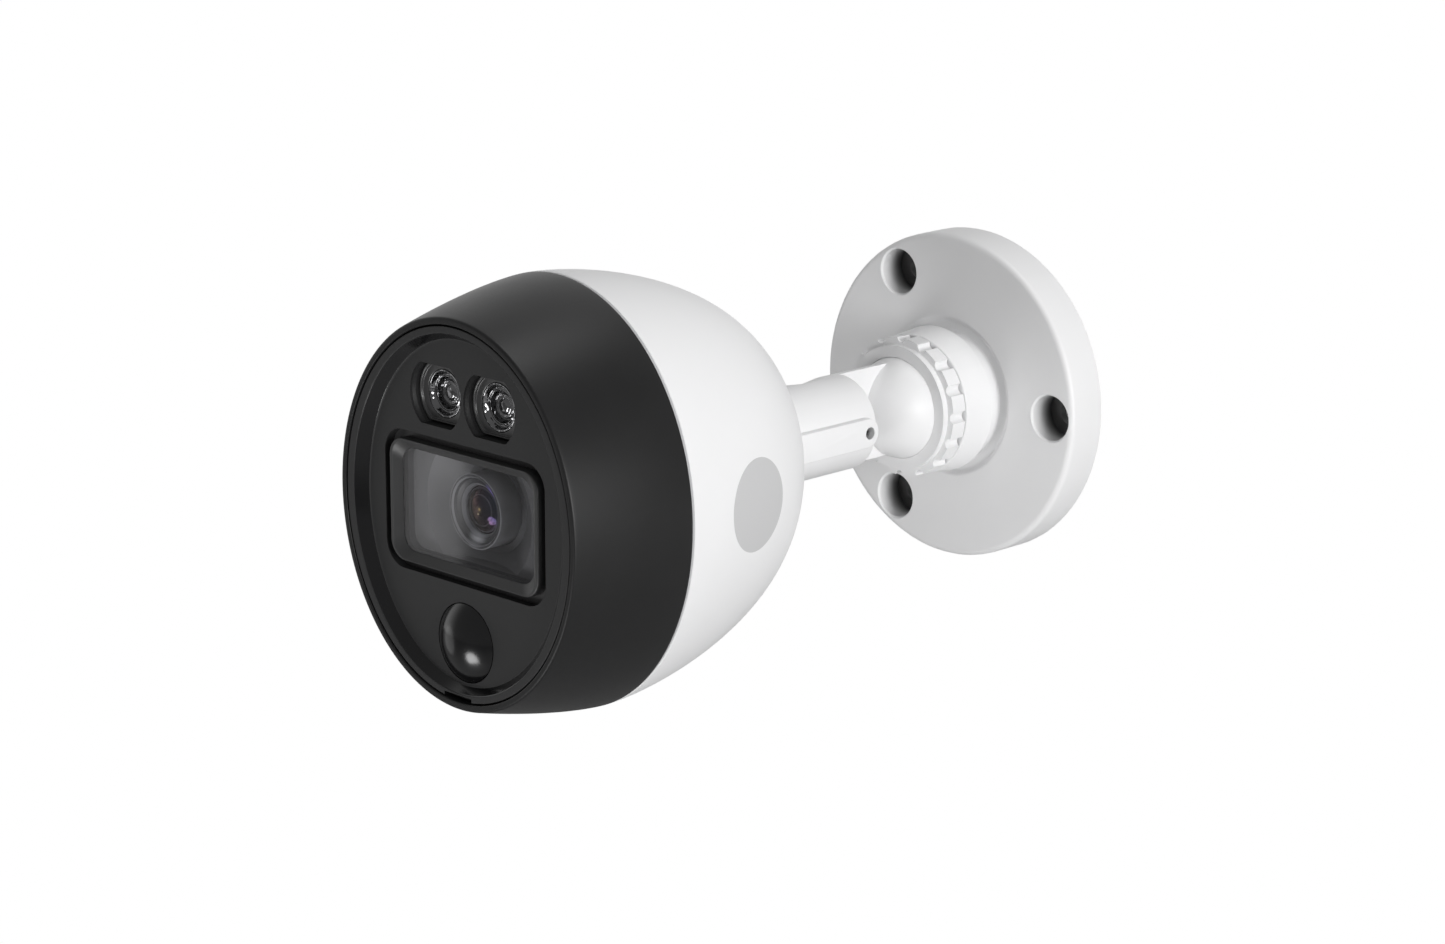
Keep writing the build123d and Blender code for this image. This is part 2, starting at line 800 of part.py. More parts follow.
for lens_name, lens_spot in (("led_lens_left", light_spots[0]), ("led_lens_right", light_spots[1])):
    bowl_floor = light_lens_front - light_bowl_depth
    with BuildPart() as light_lens:
        flatted_rods(light_lens_radius, light_lens_flat, light_boss_back, light_lens_front, [lens_spot])
        rods(light_bowl_radius, bowl_floor, light_lens_front, [lens_spot], Mode.SUBTRACT)
        rods(light_pip_radius, bowl_floor, light_lens_front - light_bowl_depth / 2, [lens_spot])
        rods(chip_room_radius, light_boss_back, light_boss_back + chip_room_depth, [lens_spot], Mode.SUBTRACT)
    save(light_lens, lens_name)

# Movement sensor: domed lens, board and can
with BuildPart() as pir_lens:
    dome_radius = (pir_radius ** 2 + pir_height ** 2) / (2 * pir_height)
    pir_inner = pir_radius - pir_wall
    inner_height = pir_height - pir_wall / 2
    inner_dome_radius = (pir_inner ** 2 + inner_height ** 2) / (2 * inner_height)
    with BuildSketch(Plane.XY.offset(pir_z)) as dome_outline:
        with BuildLine():
            RadiusArc((pir_radius, -panel_front), (0, -panel_front - pir_height), dome_radius)
            Line((0, -panel_front - pir_height), (0, -panel_front + pir_wall / 2 - inner_height))
            RadiusArc(
                (0, -panel_front + pir_wall / 2 - inner_height),
                (pir_inner, -panel_front + pir_wall / 2),
                -inner_dome_radius,
            )
            Polyline(
                (pir_inner, -panel_front + pir_wall / 2),
                (pir_inner, -pir_flange_back),
                (pir_flange_radius, -pir_flange_back),
                (pir_flange_radius, -panel_back),
                (pir_radius, -panel_back),
                (pir_radius, -panel_front),
            )
        make_face()
    revolve(dome_outline.sketch, axis=Axis((0, 0, pir_z), (0, 1, 0)))
save(pir_lens, "pir_lens")

with BuildPart() as pir_board:
    blocks(pir_board_width, pir_board_height, pir_board_back, pir_board_front, [(0, pir_z)], pir_board_corner)
    rods(small_hole, pir_board_back, pir_board_front, pir_post_spots, mode=Mode.SUBTRACT)
save(pir_board, "pir_board")

with BuildPart() as pir_sensor:
    rods(pir_can_radius, pir_board_front, pir_can_front, [(0, pir_z)])
    rods(pir_can_radius + pir_can_brim, pir_board_front, pir_board_front + pir_can_brim_height, [(0, pir_z)])
save(pir_sensor, "pir_sensor")

# Chassis behind the panel
with BuildPart() as chassis:
    ovals(chassis_half_width, chassis_half_height, chassis_back, chassis_front)
    rods(lens_radius + 2 * seat_gap, chassis_back, chassis_front, mode=Mode.SUBTRACT)
    rods(chassis_hole, chassis_back, chassis_front, chassis_spots, mode=Mode.SUBTRACT)
save(chassis, "chassis")

with BuildPart() as board_posts:
    rods(post_radius, main_board_front, chassis_back, post_spots)
    rods(small_hole, main_board_front, main_board_front + screw_bite, post_spots, mode=Mode.SUBTRACT)
save(board_posts, "board_posts")

# Main board and what it carries
with BuildPart() as main_board:
    blocks(main_board_width, main_board_height, main_board_back, main_board_front)
    rods(small_hole, main_board_back, main_board_front, post_spots, mode=Mode.SUBTRACT)
save(main_board, "main_board")

with BuildPart() as shield_can:
    blocks(can_size, can_size, main_board_front, main_board_front + can_height, [can_at], can_corner)
save(shield_can, "shield_can")

with BuildPart() as antenna:
    antenna_front = main_board_front + antenna_thickness
    blocks(antenna_length, antenna_width, main_board_front, antenna_front, [(0, antenna_z)])
save(antenna, "antenna")

with BuildPart() as speaker:
    rods(speaker_radius, main_board_front, main_board_front + speaker_height, [(0, speaker_z)])
save(speaker, "speaker")

# Battery and its tray
with BuildPart() as battery_tray:
    blocks(tray_width, tray_height, tray_back, main_board_back, corner=2 * tray_wall)
    inner_width = tray_width - 2 * tray_wall
    inner_height = tray_height - 2 * tray_wall
    tray_floor = tray_back + tray_wall
    blocks(inner_width, inner_height, tray_floor, main_board_back, corner=tray_wall, mode=Mode.SUBTRACT)
save(battery_tray, "battery_tray")

with BuildPart() as battery_pack:
    battery_width = inner_width - 2 * battery_gap
    battery_height = inner_height - 2 * battery_gap
    blocks(battery_width, battery_height, tray_floor, tray_floor + battery_thickness, corner=tray_wall)
save(battery_pack, "battery_pack")

# Screws: each set has its head on one plate and its thread in the next piece
with BuildPart() as chassis_screws:
    rods(chassis_screw_head_radius, chassis_back - chassis_screw_head, chassis_back, chassis_spots)
    rods(chassis_screw_radius, chassis_back, chassis_front + chassis_screw_bite, chassis_spots)
save(chassis_screws, "chassis_screws")

screw_sets = (
    (main_board_back, main_board_thickness, post_spots),
    (sensor_board_back, board_thickness, holder_spots),
    (light_board_back, board_thickness, light_screw_spots),
    (pir_board_back, board_thickness, pir_post_spots),
)
with BuildPart() as board_screws:
    for plate_back, plate, spots in screw_sets:
        rods(screw_head_radius, plate_back - screw_head, plate_back, spots)
        rods(screw_radius, plate_back, plate_back + plate + screw_bite, spots)
save(board_screws, "board_screws")
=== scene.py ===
# %% [markdown]
# A small outdoor security camera: an egg-shaped head with a black front and a white back, on a short arm that
# ends in a ball, held by a ring on a round wall plate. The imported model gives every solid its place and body.
# Here the pieces that show are modelled again with soft edges, and every solid gets its finish.

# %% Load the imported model
from math import cos, hypot, pi, radians, sin, sqrt

import bpy
from mathutils import Matrix, Vector


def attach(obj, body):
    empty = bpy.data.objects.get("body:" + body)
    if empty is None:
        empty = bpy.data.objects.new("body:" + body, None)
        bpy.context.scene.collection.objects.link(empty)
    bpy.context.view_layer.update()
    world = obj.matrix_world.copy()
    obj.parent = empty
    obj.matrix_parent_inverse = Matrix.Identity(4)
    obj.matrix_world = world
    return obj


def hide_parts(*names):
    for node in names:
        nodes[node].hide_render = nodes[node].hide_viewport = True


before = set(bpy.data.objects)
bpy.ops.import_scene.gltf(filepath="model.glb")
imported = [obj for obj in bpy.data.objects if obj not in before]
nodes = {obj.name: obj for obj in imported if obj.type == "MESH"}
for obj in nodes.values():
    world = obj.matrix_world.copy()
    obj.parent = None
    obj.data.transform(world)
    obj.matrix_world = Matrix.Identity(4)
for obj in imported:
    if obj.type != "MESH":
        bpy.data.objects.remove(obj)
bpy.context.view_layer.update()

# %% [markdown]
# Sizes are written in millimetres, as in the drawing, and turned into metres by one factor. A depth is the
# distance from the wall towards the viewer, which is the negative Y direction of the shared frame.

# %% Unit
MM = 0.001
print("one millimetre in Blender's units:", MM)


# %% [markdown]
# The finishes are written as sums on sockets. Nodes could be added and linked one by one, but a sum is easier to
# read than a list of links. One small class wraps a socket, so that a sum of two wires adds the Math node, and its
# make method adds any other node with its settings and inputs.

# %% A wire that can be used in sums
class Wire:
    def __init__(self, socket):
        self.socket = socket
        self.tree = socket.id_data

    def make(self, kind, settings, inputs, output=0):
        node = self.tree.nodes.new("ShaderNode" + kind)
        for key, value in settings.items():
            setattr(node, key, value)
        for key, value in inputs.items():
            if isinstance(value, Wire):
                self.tree.links.new(value.socket, node.inputs[key])
            else:
                node.inputs[key].default_value = value
        return Wire(node.outputs[output])

    def math(self, operation, left, right):
        return self.make("Math", {"operation": operation}, {0: left, 1: right})

    def __add__(self, other):
        return self.math("ADD", self, other)

    def __radd__(self, other):
        return self.math("ADD", other, self)

    def __sub__(self, other):
        return self.math("SUBTRACT", self, other)

    def __rsub__(self, other):
        return self.math("SUBTRACT", other, self)

    def __mul__(self, other):
        return self.math("MULTIPLY", self, other)

    def __rmul__(self, other):
        return self.math("MULTIPLY", other, self)


# %% [markdown]
# Every finish starts from the Principled shader. What is the same all over is set on the shader's own socket, and
# what changes over the surface is plugged in. Patterns read Object coordinates, so they stay on the piece when it
# moves.

# %% Helpers that start and wire up a finish
def start_finish(name, **constants):
    material = bpy.data.materials.new(name)
    material.use_nodes = True
    shader = material.node_tree.nodes["Principled BSDF"]
    for key, value in constants.items():
        shader.inputs[key.replace("_", " ")].default_value = value
    where = material.node_tree.nodes.new("ShaderNodeTexCoord")
    return material, shader, Wire(where.outputs["Object"])


def plug(shader, **wires):
    for key, wire in wires.items():
        wire.tree.links.new(wire.socket, shader.inputs[key.replace("_", " ")])


def noise(place, size, detail=2.0):
    return place.make("TexNoise", {}, {"Vector": place, "Scale": 1 / (size * MM), "Detail": detail}, "Fac")


def blend_colours(amount, low, high):
    low, high = (colour if isinstance(colour, Wire) else (*colour, 1) for colour in (low, high))
    return amount.make("Mix", {"data_type": "RGBA"}, {0: amount, 6: low, 7: high}, 2)


def split(place, letters):
    return [place.make("SeparateXYZ", {}, {0: place}, letter) for letter in letters]


def eased(value, start, end):
    ease = {"interpolation_type": "SMOOTHSTEP"}
    return value.make("MapRange", ease, {"Value": value, "From Min": start, "From Max": end})


# %% [markdown]
# Moulded plastic is never one flat tone: the mould leaves a fine grain, and the gloss drifts a little over the
# surface. A single grey would look like a drawing, so this recipe gives each plastic its own tone, gloss and grain.

# %% Recipe for moulded plastic
cloud_size = 14.0
# Colour of the painted shade deep in the bolt wells.
painted_shade_tone = (0.02, 0.02, 0.02)


def moulded(name, tone, gloss, grain=0.35, height=0.012, drift=0.06, hollow=None, **constants):
    material, shader, place = start_finish(name, **constants)
    cloud = noise(place, cloud_size)
    speck = noise(place, grain, 3.0)
    low = tuple(value * (1 - drift) for value in tone)
    high = tuple(min(1, value * (1 + drift)) for value in tone)
    colour = blend_colours(cloud, low, high)
    # Where a mask is given, painted shade darkens the colour towards that tone.
    if hollow:
        colour = blend_colours(hollow(place), colour, painted_shade_tone)
    plug(shader, Base_Color=colour)
    plug(shader, Roughness=gloss + 0.10 * (cloud - 0.5) + 0.08 * (speck - 0.5))
    bump = place.make("Bump", {}, {"Height": speck, "Strength": 0.35, "Distance": height * MM})
    plug(shader, Normal=bump)
    return material


# %% [markdown]
# The three bolt wells of the wall plate are deep and look dark. In a bright studio the white plastic would light
# itself up inside them, so painted shade darkens each well towards its floor, by place and not by view. The back of
# the plate stays white.

# %% Painted shade in the bolt wells
bolt_turns = (0, 120, 240)
bolt_ring = 28.75
well_reach = 5.0
well_light, well_dark = -7.5, -2.6
plate_back = -1.3


# Mask of the painted shade: near a bolt axis and deep in the plate, darker towards the floor of each well.
def bolt_well_shade(place):
    x, y, z = split(place, "XYZ")
    near = None
    for turn in bolt_turns:
        across = x - bolt_ring * cos(radians(turn)) * MM
        up = z - bolt_ring * sin(radians(turn)) * MM
        reach = across * across + up * up
        near = reach if near is None else reach.math("MINIMUM", near, reach)
    inside = near.math("LESS_THAN", near, (well_reach * MM) ** 2)
    deep = eased(y, well_light * MM, well_dark * MM)
    return inside * deep * y.math("LESS_THAN", y, plate_back * MM)


# %% [markdown]
# The outside is white with a grey disc, and dark at the front: the shell is nearly black, the sunk panel is
# charcoal, and the frames are a step lighter. The two darkest have less specular, so that the lamps don't turn them
# grey.

# %% Moulded plastics
clean_white = (0.80, 0.80, 0.805)
shell_black = (0.0115, 0.0115, 0.0118)
charcoal = (0.0185, 0.0185, 0.0190)
white_plastic = moulded("white_plastic", clean_white, 0.46, drift=0.015)
# The plate's finish carries painted shade in its bolt wells.
plate_plastic = moulded("plate_plastic", clean_white, 0.46, drift=0.015, hollow=bolt_well_shade)
ring_plastic = moulded("ring_plastic", clean_white, 0.42, drift=0.015)
black_plastic = moulded("black_plastic", shell_black, 0.42, grain=0.30, drift=0.12, Specular_IOR_Level=0.25)
charcoal_plastic = moulded("charcoal_plastic", charcoal, 0.55, grain=0.25, drift=0.10, Specular_IOR_Level=0.35)
frame_plastic = moulded("frame_plastic", (0.0300, 0.0300, 0.0305), 0.40, grain=0.25, drift=0.10)
bezel_plastic = moulded("bezel_plastic", (0.060, 0.060, 0.061), 0.30, grain=0.25, drift=0.10)
grey_plastic = moulded("grey_plastic", (0.53, 0.53, 0.535), 0.50, drift=0.02)
lens_black = moulded("lens_black", (0.13, 0.13, 0.133), 0.38, grain=0.2, drift=0.1)
nylon = moulded("nylon", (0.62, 0.61, 0.58), 0.50)
print("plastics made, the last is", nylon.name)

# %% [markdown]
# Rubber and foam are duller and softer than plastic, with larger cells. The boards, chips and battery inside
# are hardly seen, but they get the finish that they have when the head is opened.

# %% Soft and inner finishes
pale_rubber = moulded("pale_rubber", (0.42, 0.42, 0.43), 0.7, grain=0.5)
black_rubber = moulded("black_rubber", (0.012, 0.012, 0.012), 0.75, grain=0.5)
# The window's gasket is given a mid grey instead of rubber black: painted light, where it lies in shade behind the
# glass.
gasket_painted_lighter = moulded("gasket_painted_lighter", (0.11, 0.11, 0.112), 0.7, grain=0.5)
foam = moulded("foam", (0.045, 0.045, 0.048), 0.95, grain=0.9, height=0.15, drift=0.2)
circuit_board = moulded("circuit_board", (0.015, 0.075, 0.035), 0.35, grain=0.8, drift=0.25)
chip = moulded("chip", (0.02, 0.02, 0.022), 0.4, grain=0.3)
battery = moulded("battery", (0.08, 0.12, 0.22), 0.3, grain=0.6, drift=0.1)
light_chip = moulded("light_chip", (0.75, 0.62, 0.22), 0.4, grain=0.3)
print("soft and inner finishes made, the last is", light_chip.name)


# %% [markdown]
# Clips, pins and screws are brushed steel. The streaks come from a noise that is squeezed along one direction.

# %% Steel
def brushed_steel(name):
    material, shader, place = start_finish(name, Metallic=1.0)
    squeeze = place.make("Mapping", {}, {"Vector": place, "Scale": (1, 12, 1)})
    streak = noise(squeeze, 1.5, 3.0)
    plug(shader, Base_Color=blend_colours(streak, (0.42, 0.42, 0.43), (0.62, 0.62, 0.63)))
    plug(shader, Roughness=0.25 + 0.2 * streak)
    return material


steel = brushed_steel("steel")
print("steel made:", steel.name)


# %% [markdown]
# The dome in front of the movement sensor is deep black and polished, so it mirrors the room. The sloping edge of
# the panel has nearly the same gloss, and the screw in the arm is dark and dull.

# %% Polished finishes
def polished(name, tone, gloss):
    material, shader, place = start_finish(name)
    haze = noise(place, 6.0)
    low = tuple(value * 0.85 for value in tone)
    plug(shader, Base_Color=blend_colours(haze, low, tone))
    plug(shader, Roughness=gloss + 0.03 * haze)
    return material


deep_black = (0.004, 0.004, 0.0045)
dome_black = polished("dome_black", deep_black, 0.17)
trim_black = polished("trim_black", deep_black, 0.14)
dark_steel = polished("dark_steel", (0.012, 0.012, 0.012), 0.55)
print("polished finishes made, the last is", dark_steel.name)


# %% [markdown]
# The lens shows as rings: a coated front element, and round it a barrel with steps in several greys. Each step could
# be a turned groove, but here the light that it would catch is painted as a band of colour by the distance from the
# axis. Small soft spots are painted glints and painted reflections of the coating and the barrel.

# %% Recipe for the lens
def distance(across, up):
    return across.math("SQRT", across * across + up * up, 0.0)


def lens_with_painted_light(name, gloss, painted_bands, painted_spots, **constants):
    material, shader, place = start_finish(name, **constants)
    x, z = split(place, "XZ")
    reach = distance(x, z)
    colour = blend_colours(noise(place, 3.0), (0.010, 0.010, 0.012), (0.014, 0.014, 0.016))
    # Each band and each soft spot is painted light: a highlight or reflection laid into the colour.
    for inner, outer, tone in painted_bands:
        inside = reach.math("GREATER_THAN", reach, inner * MM) * reach.math("LESS_THAN", reach, outer * MM)
        colour = blend_colours(inside, colour, tone)
    for across, up, size, tone in painted_spots:
        gap = distance(x - across * MM, z - up * MM)
        colour = blend_colours(eased(gap, size * MM, 0.0), colour, tone)
    plug(shader, Base_Color=colour)
    plug(shader, Roughness=gloss + 0.03 * noise(place, 3.0))
    return material


# %% Finishes of the lens
# Painted reflections: two lighter rings in the front element.
element_painted_rings = [
    (2.9, 3.2, (0.08, 0.08, 0.085)),
    (4.1, 4.5, (0.10, 0.10, 0.11)),
]
# Painted glints: a warm disc in the middle and two small bright spots.
element_painted_glints = [
    (-0.1, 0.1, 1.3, (0.14, 0.12, 0.08)),
    (0.2, 0.3, 0.45, (0.75, 0.55, 0.22)),
    (-0.2, -0.7, 0.3, (0.85, 0.75, 0.45)),
]
coating = {"Thin_Film_Thickness": 330.0, "Thin_Film_IOR": 1.38}
optic_glass = lens_with_painted_light("optic_glass", 0.05, element_painted_rings, element_painted_glints, **coating)
# Painted light: bands of lighter grey where the barrel's steps would catch the light.
ring_painted_light_bands = [
    (4.7, 5.3, (0.20, 0.20, 0.21)),
    (5.3, 6.5, (0.025, 0.025, 0.027)),
    (6.5, 6.8, (0.26, 0.26, 0.27)),
    (6.8, 7.2, (0.03, 0.03, 0.032)),
    (7.2, 7.6, (0.30, 0.30, 0.31)),
]
# Painted reflections: a violet glint of the coating, and a pale arc low on the barrel.
ring_painted_reflections = [
    (3.4, 4.3, 2.0, (0.26, 0.18, 0.65)),
    (-0.4, -5.0, 3.0, (0.60, 0.61, 0.63)),
]
lens_ring = lens_with_painted_light("lens_ring", 0.42, ring_painted_light_bands, ring_painted_reflections)
print("lens finishes made:", optic_glass.name, lens_ring.name)


# %% [markdown]
# The lens cups of the two lights are dark mirrors. A smooth mirror would show one round glint, so a gentle ripple
# bends the surface and breaks the glint into many.

# %% Finish of the light lenses
def silvered_cup(name):
    material, shader, place = start_finish(name, Metallic=1.0)
    ripple = noise(place, 1.3, 1.0)
    plug(shader, Base_Color=blend_colours(noise(place, 2.0), (0.16, 0.16, 0.165), (0.30, 0.30, 0.305)))
    plug(shader, Roughness=0.04 + 0.06 * ripple)
    plug(shader, Normal=place.make("Bump", {}, {"Height": ripple, "Strength": 0.5, "Distance": 0.5 * MM}))
    return material


silvered = silvered_cup("silvered")
print("light lens finish made:", silvered.name)


# %% [markdown]
# The window and the panes of the filter are clear. Real glass bends light and darkens what is behind it in a
# render, so a see-through shader is mixed with a mirror by the glass's own facing curve. The inside is then lit and
# seen while the surface still reflects.

# %% Clear finishes
def clear(name, tint, head_on, gloss):
    material, shader, place = start_finish(name, Metallic=1.0, Base_Color=(1, 1, 1, 1))
    haze = noise(place, 5.0)
    plug(shader, Roughness=gloss + 0.02 * haze)
    through = place.make("BsdfTransparent", {}, {"Color": (*tint, 1)})
    facing = place.make("LayerWeight", {}, {"Blend": 0.5}, "Facing")
    edge = head_on + (1 - head_on) * facing.math("POWER", facing, 5.0)
    mixed = place.make("MixShader", {}, {0: edge, 1: through, 2: Wire(shader.outputs[0])})
    output = material.node_tree.nodes["Material Output"]
    mixed.tree.links.new(mixed.socket, output.inputs["Surface"])
    return material


window_clear = clear("window_clear", (0.92, 0.92, 0.93), 0.045, 0.03)
lens_clear = clear("lens_clear", (0.95, 0.95, 0.96), 0.06, 0.02)
print("clear finishes made:", window_clear.name, lens_clear.name)


# %% [markdown]
# Most pieces are turned: a loop of edges is added at its size, then extruded ring by ring, each ring scaled to its
# own size. Spin would do for round pieces, but the head is taller than wide, and this way takes both. An operator
# acts on all that is selected, so everything is deselected first.

# %% Helpers that draw out a loop
def only(piece):
    bpy.ops.object.select_all(action="DESELECT")
    piece.select_set(True)
    bpy.context.view_layer.objects.active = piece


def oval_loop(name, half_width, half_height, depth, sides):
    bpy.ops.object.select_all(action="DESELECT")
    bpy.ops.mesh.primitive_circle_add(vertices=sides, radius=1, rotation=(pi / 2, 0, 0))
    piece = bpy.context.object
    piece.name = name
    bpy.ops.object.transform_apply(rotation=True)
    bpy.ops.object.mode_set(mode="EDIT")
    bpy.ops.mesh.select_all(action="SELECT")
    bpy.ops.transform.resize(value=(half_width * MM, 1, half_height * MM), center_override=(0, 0, 0))
    bpy.ops.transform.translate(value=(0, -depth * MM, 0))
    return piece


def draw_out(stations):
    here = stations[0]
    for there in stations[1:]:
        step = (0, (here[2] - there[2]) * MM, 0)
        growth = (there[0] / here[0], 1, there[1] / here[1])
        bpy.ops.mesh.extrude_region_move(TRANSFORM_OT_translate={"value": step})
        bpy.ops.transform.resize(value=growth, center_override=(0, -there[2] * MM, 0))
        here = there


merge_gap = 0.0005 * MM


def close_up(piece, x=0.0, z=0.0):
    bpy.ops.mesh.select_all(action="SELECT")
    bpy.ops.mesh.remove_doubles(threshold=merge_gap)
    bpy.ops.mesh.fill_holes(sides=0)
    bpy.ops.mesh.select_all(action="SELECT")
    bpy.ops.mesh.normals_make_consistent(inside=False)
    bpy.ops.transform.translate(value=(x * MM, 0, z * MM))
    bpy.ops.object.mode_set(mode="OBJECT")
    return piece


# %% [markdown]
# An outline is a list of corners, each with its half width, its depth and how far it is rounded. Corners are
# rounded before the loop is drawn out, so the edges catch the light as moulded ones do. A ring can't shrink to
# nothing, so an outline that reaches the axis stops a hair before it, at the core.

# %% Helpers that turn an outline
fine_sides = 192
core = 0.05
longest_cut = 0.48


def rounded(corners, ring, steps=6):
    count = len(corners)
    stations = []
    for place, corner in enumerate(corners):
        point, soft = Vector(corner[:3]), corner[3]
        at_end = place in (0, count - 1) and not ring
        if soft == 0 or at_end:
            stations.append(tuple(point))
            continue
        before = Vector(corners[place - 1][:3]) - point
        after = Vector(corners[(place + 1) % count][:3]) - point
        start = point + before * min(longest_cut, soft / hypot(before.x, before.z))
        end = point + after * min(longest_cut, soft / hypot(after.x, after.z))
        for step in range(steps + 1):
            part = step / steps
            bend = start * (1 - part) ** 2 + point * 2 * part * (1 - part) + end * part ** 2
            stations.append(tuple(bend))
    return stations + stations[:1] if ring else stations


def drawn(name, corners, ring=False, x=0.0, z=0.0, sides=fine_sides):
    stations = rounded(corners, ring)
    piece = oval_loop(name, *stations[0], sides)
    draw_out(stations)
    return close_up(piece, x, z)


def turned(name, outline, aspect=1.0, ring=False, x=0.0, z=0.0, sides=fine_sides):
    corners = [(corner[0], corner[0] * aspect, corner[1], corner[2]) for corner in outline]
    return drawn(name, corners, ring, x, z, sides)


def rod(name, radius, start, end, x=0.0, z=0.0, sides=fine_sides):
    outline = [(core, start, 0), (radius, start, 0), (radius, end, 0), (core, end, 0)]
    return turned(name, outline, x=x, z=z, sides=sides)


# %% [markdown]
# Holes are cut with a boolean, whose tool is removed afterwards. Smooth shading is limited by angle, so that a flat
# face stays a flat mirror. Each finished piece is then tied to the body that carries it, and takes the place of its
# solid.

# %% Helpers that cut, join and fit
def apply_modifier(piece, kind, **settings):
    only(piece)
    modifier = piece.modifiers.new(kind, kind)
    for key, value in settings.items():
        setattr(modifier, key, value)
    bpy.ops.object.modifier_apply(modifier=modifier.name)


def carve(piece, tool, operation="DIFFERENCE"):
    apply_modifier(piece, "BOOLEAN", object=tool, operation=operation, solver="EXACT")
    bpy.data.objects.remove(tool)


def joined(pieces):
    bpy.ops.object.select_all(action="DESELECT")
    for piece in pieces:
        piece.select_set(True)
    bpy.context.view_layer.objects.active = pieces[0]
    bpy.ops.object.join()
    return pieces[0]


def smooth(piece, angle=20):
    only(piece)
    bpy.ops.object.shade_smooth_by_angle(angle=radians(angle))


def fit_piece(piece, body, slot, *replaced):
    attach(piece, body)
    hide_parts(*replaced)
    print(piece.name, "faces:", len(piece.data.polygons))


# %% [markdown]
# The wall plate is a turned disc with a rounded rim and a hub that stands in a shallow dish. Its three bolt holes are
# counterbored with a small chamfer at the mouth, and painted shade in the finish makes them read as dark wells from
# the front. One outline gives the whole disc, also the neck inside the hub and the shallow pocket at the back.

# %% Wall plate
plate_radius = 35.0
plate_thickness = 9.5
plate_outline = [
    (core, 10.1, 0),
    (11.65, 10.1, 0),
    (11.65, 23.5, 0.2),
    (13.0, 23.5, 0.2),
    (13.0, 20.0, 0),
    (15.0, 20.0, 0.4),
    (15.7, 12.6, 0.35),
    (14.0, 12.6, 0),
    (14.0, 8.3, 0.4),
    (16.2, 8.3, 0.5),
    (17.2, plate_thickness, 0.5),
    (plate_radius, plate_thickness, 1.4),
    (plate_radius, 0, 0.5),
    (32.2, 0, 0),
    (32.2, 1.2, 0),
    (core, 1.2, 0),
]
wall_plate = turned("wall_plate", plate_outline)
bolt_outline = [
    (core, -1, 0),
    (2.3, -1, 0),
    (2.3, 3.2, 0),
    (4.85, 3.2, 0),
    (4.85, plate_thickness - 0.35, 0),
    (5.2, plate_thickness, 0),
    (5.9, plate_thickness + 1, 0),
    (core, plate_thickness + 1, 0),
]
bolt_tools = []
for turn in bolt_turns:
    across, up = bolt_ring * cos(radians(turn)), bolt_ring * sin(radians(turn))
    bolt_tools.append(turned("bolt_tool", bolt_outline, x=across, z=up, sides=64))
carve(wall_plate, joined(bolt_tools))
smooth(wall_plate)
wall_plate.data.materials.append(plate_plastic)
fit_piece(wall_plate, "base", "white_plastic", "base_plate")


# %% [markdown]
# The lock ring is turned with its lip, then sixteen round-bottomed notches are cut for the fingers. The notch is
# modelled once and repeated round the ring. The bevel comes after the cut, so that it rounds the teeth as well.

# %% Lock ring
def soften(piece, width, segments=3, angle=38):
    limit = radians(angle)
    apply_modifier(piece, "BEVEL", width=width * MM, segments=segments, limit_method="ANGLE", angle_limit=limit)
    smooth(piece)


ring_outline = [
    (13.1, 20.3, 0),
    (14.9, 20.3, 0),
    (14.9, 24.1, 0),
    (13.4, 24.1, 0),
    (13.4, 25.5, 0),
    (10.85, 25.5, 0),
    (11.05, 23.8, 0),
    (13.1, 23.8, 0),
]
toothed_ring = turned("toothed_ring", ring_outline, ring=True)
notch_count = 16
notch_ring = 15.1
notch_outline = [(core, 19, 0), (1.2, 19, 0), (1.2, 24.1, 0), (1.2, 24.6, 0), (core, 24.6, 0)]
notch_tools = []
for notch in range(notch_count):
    turn = 2 * pi * notch / notch_count
    across, up = notch_ring * cos(turn), notch_ring * sin(turn)
    notch_tools.append(turned("notch_tool", notch_outline, x=across, z=up, sides=32))
carve(toothed_ring, joined(notch_tools))
soften(toothed_ring, 0.22, 2)
toothed_ring.data.materials.append(ring_plastic)
fit_piece(toothed_ring, "ring", "white_plastic", "lock_ring")

# %% [markdown]
# The arm is a round bar with a ball at its end. Half of the bar is cut away beside the ball, so that it can fold to
# one side, and a shallow dip is moulded into the other side. The bar starts as a turned piece, because its shoulder
# and its stem are then one outline.

# %% Bar of the arm
ball_radius = 11.0
ball_depth = 23.3
arm_radius = 10.0
arm_end = 70.4
stem_radius = 6.0
stem_end = 83.6
arm_outline = [
    (core, ball_depth, 0),
    (arm_radius, ball_depth, 0),
    (arm_radius, arm_end, 0.6),
    (stem_radius, arm_end, 0),
    (stem_radius, stem_end, 0.3),
    (core, stem_end, 0),
]
arm_bar = turned("arm_bar", arm_outline)
print(arm_bar.name, "length:", stem_end - ball_depth)


# %% [markdown]
# The cuts are made before the ball is joined, so they leave it whole. A block takes half of the bar away, a wide
# drum that lies across the bar leaves the dip, and a thin rod from the side leaves the screw hole.

# %% Cuts in the arm
def block(name, low, high):
    bpy.ops.object.select_all(action="DESELECT")
    bpy.ops.mesh.primitive_cube_add(size=1)
    piece = bpy.context.object
    piece.name = name
    bpy.ops.object.mode_set(mode="EDIT")
    bpy.ops.mesh.select_all(action="SELECT")
    size = [(b - a) * MM for a, b in zip(low, high)]
    centre = [(a + b) / 2 * MM for a, b in zip(low, high)]
    bpy.ops.transform.resize(value=size, center_override=(0, 0, 0))
    bpy.ops.transform.translate(value=centre)
    bpy.ops.object.mode_set(mode="OBJECT")
    return piece


def lay(piece, way, centre):
    turn = Vector((0, -1, 0)).rotation_difference(way).to_matrix().to_4x4()
    piece.data.transform(Matrix.Translation(centre * MM) @ turn)


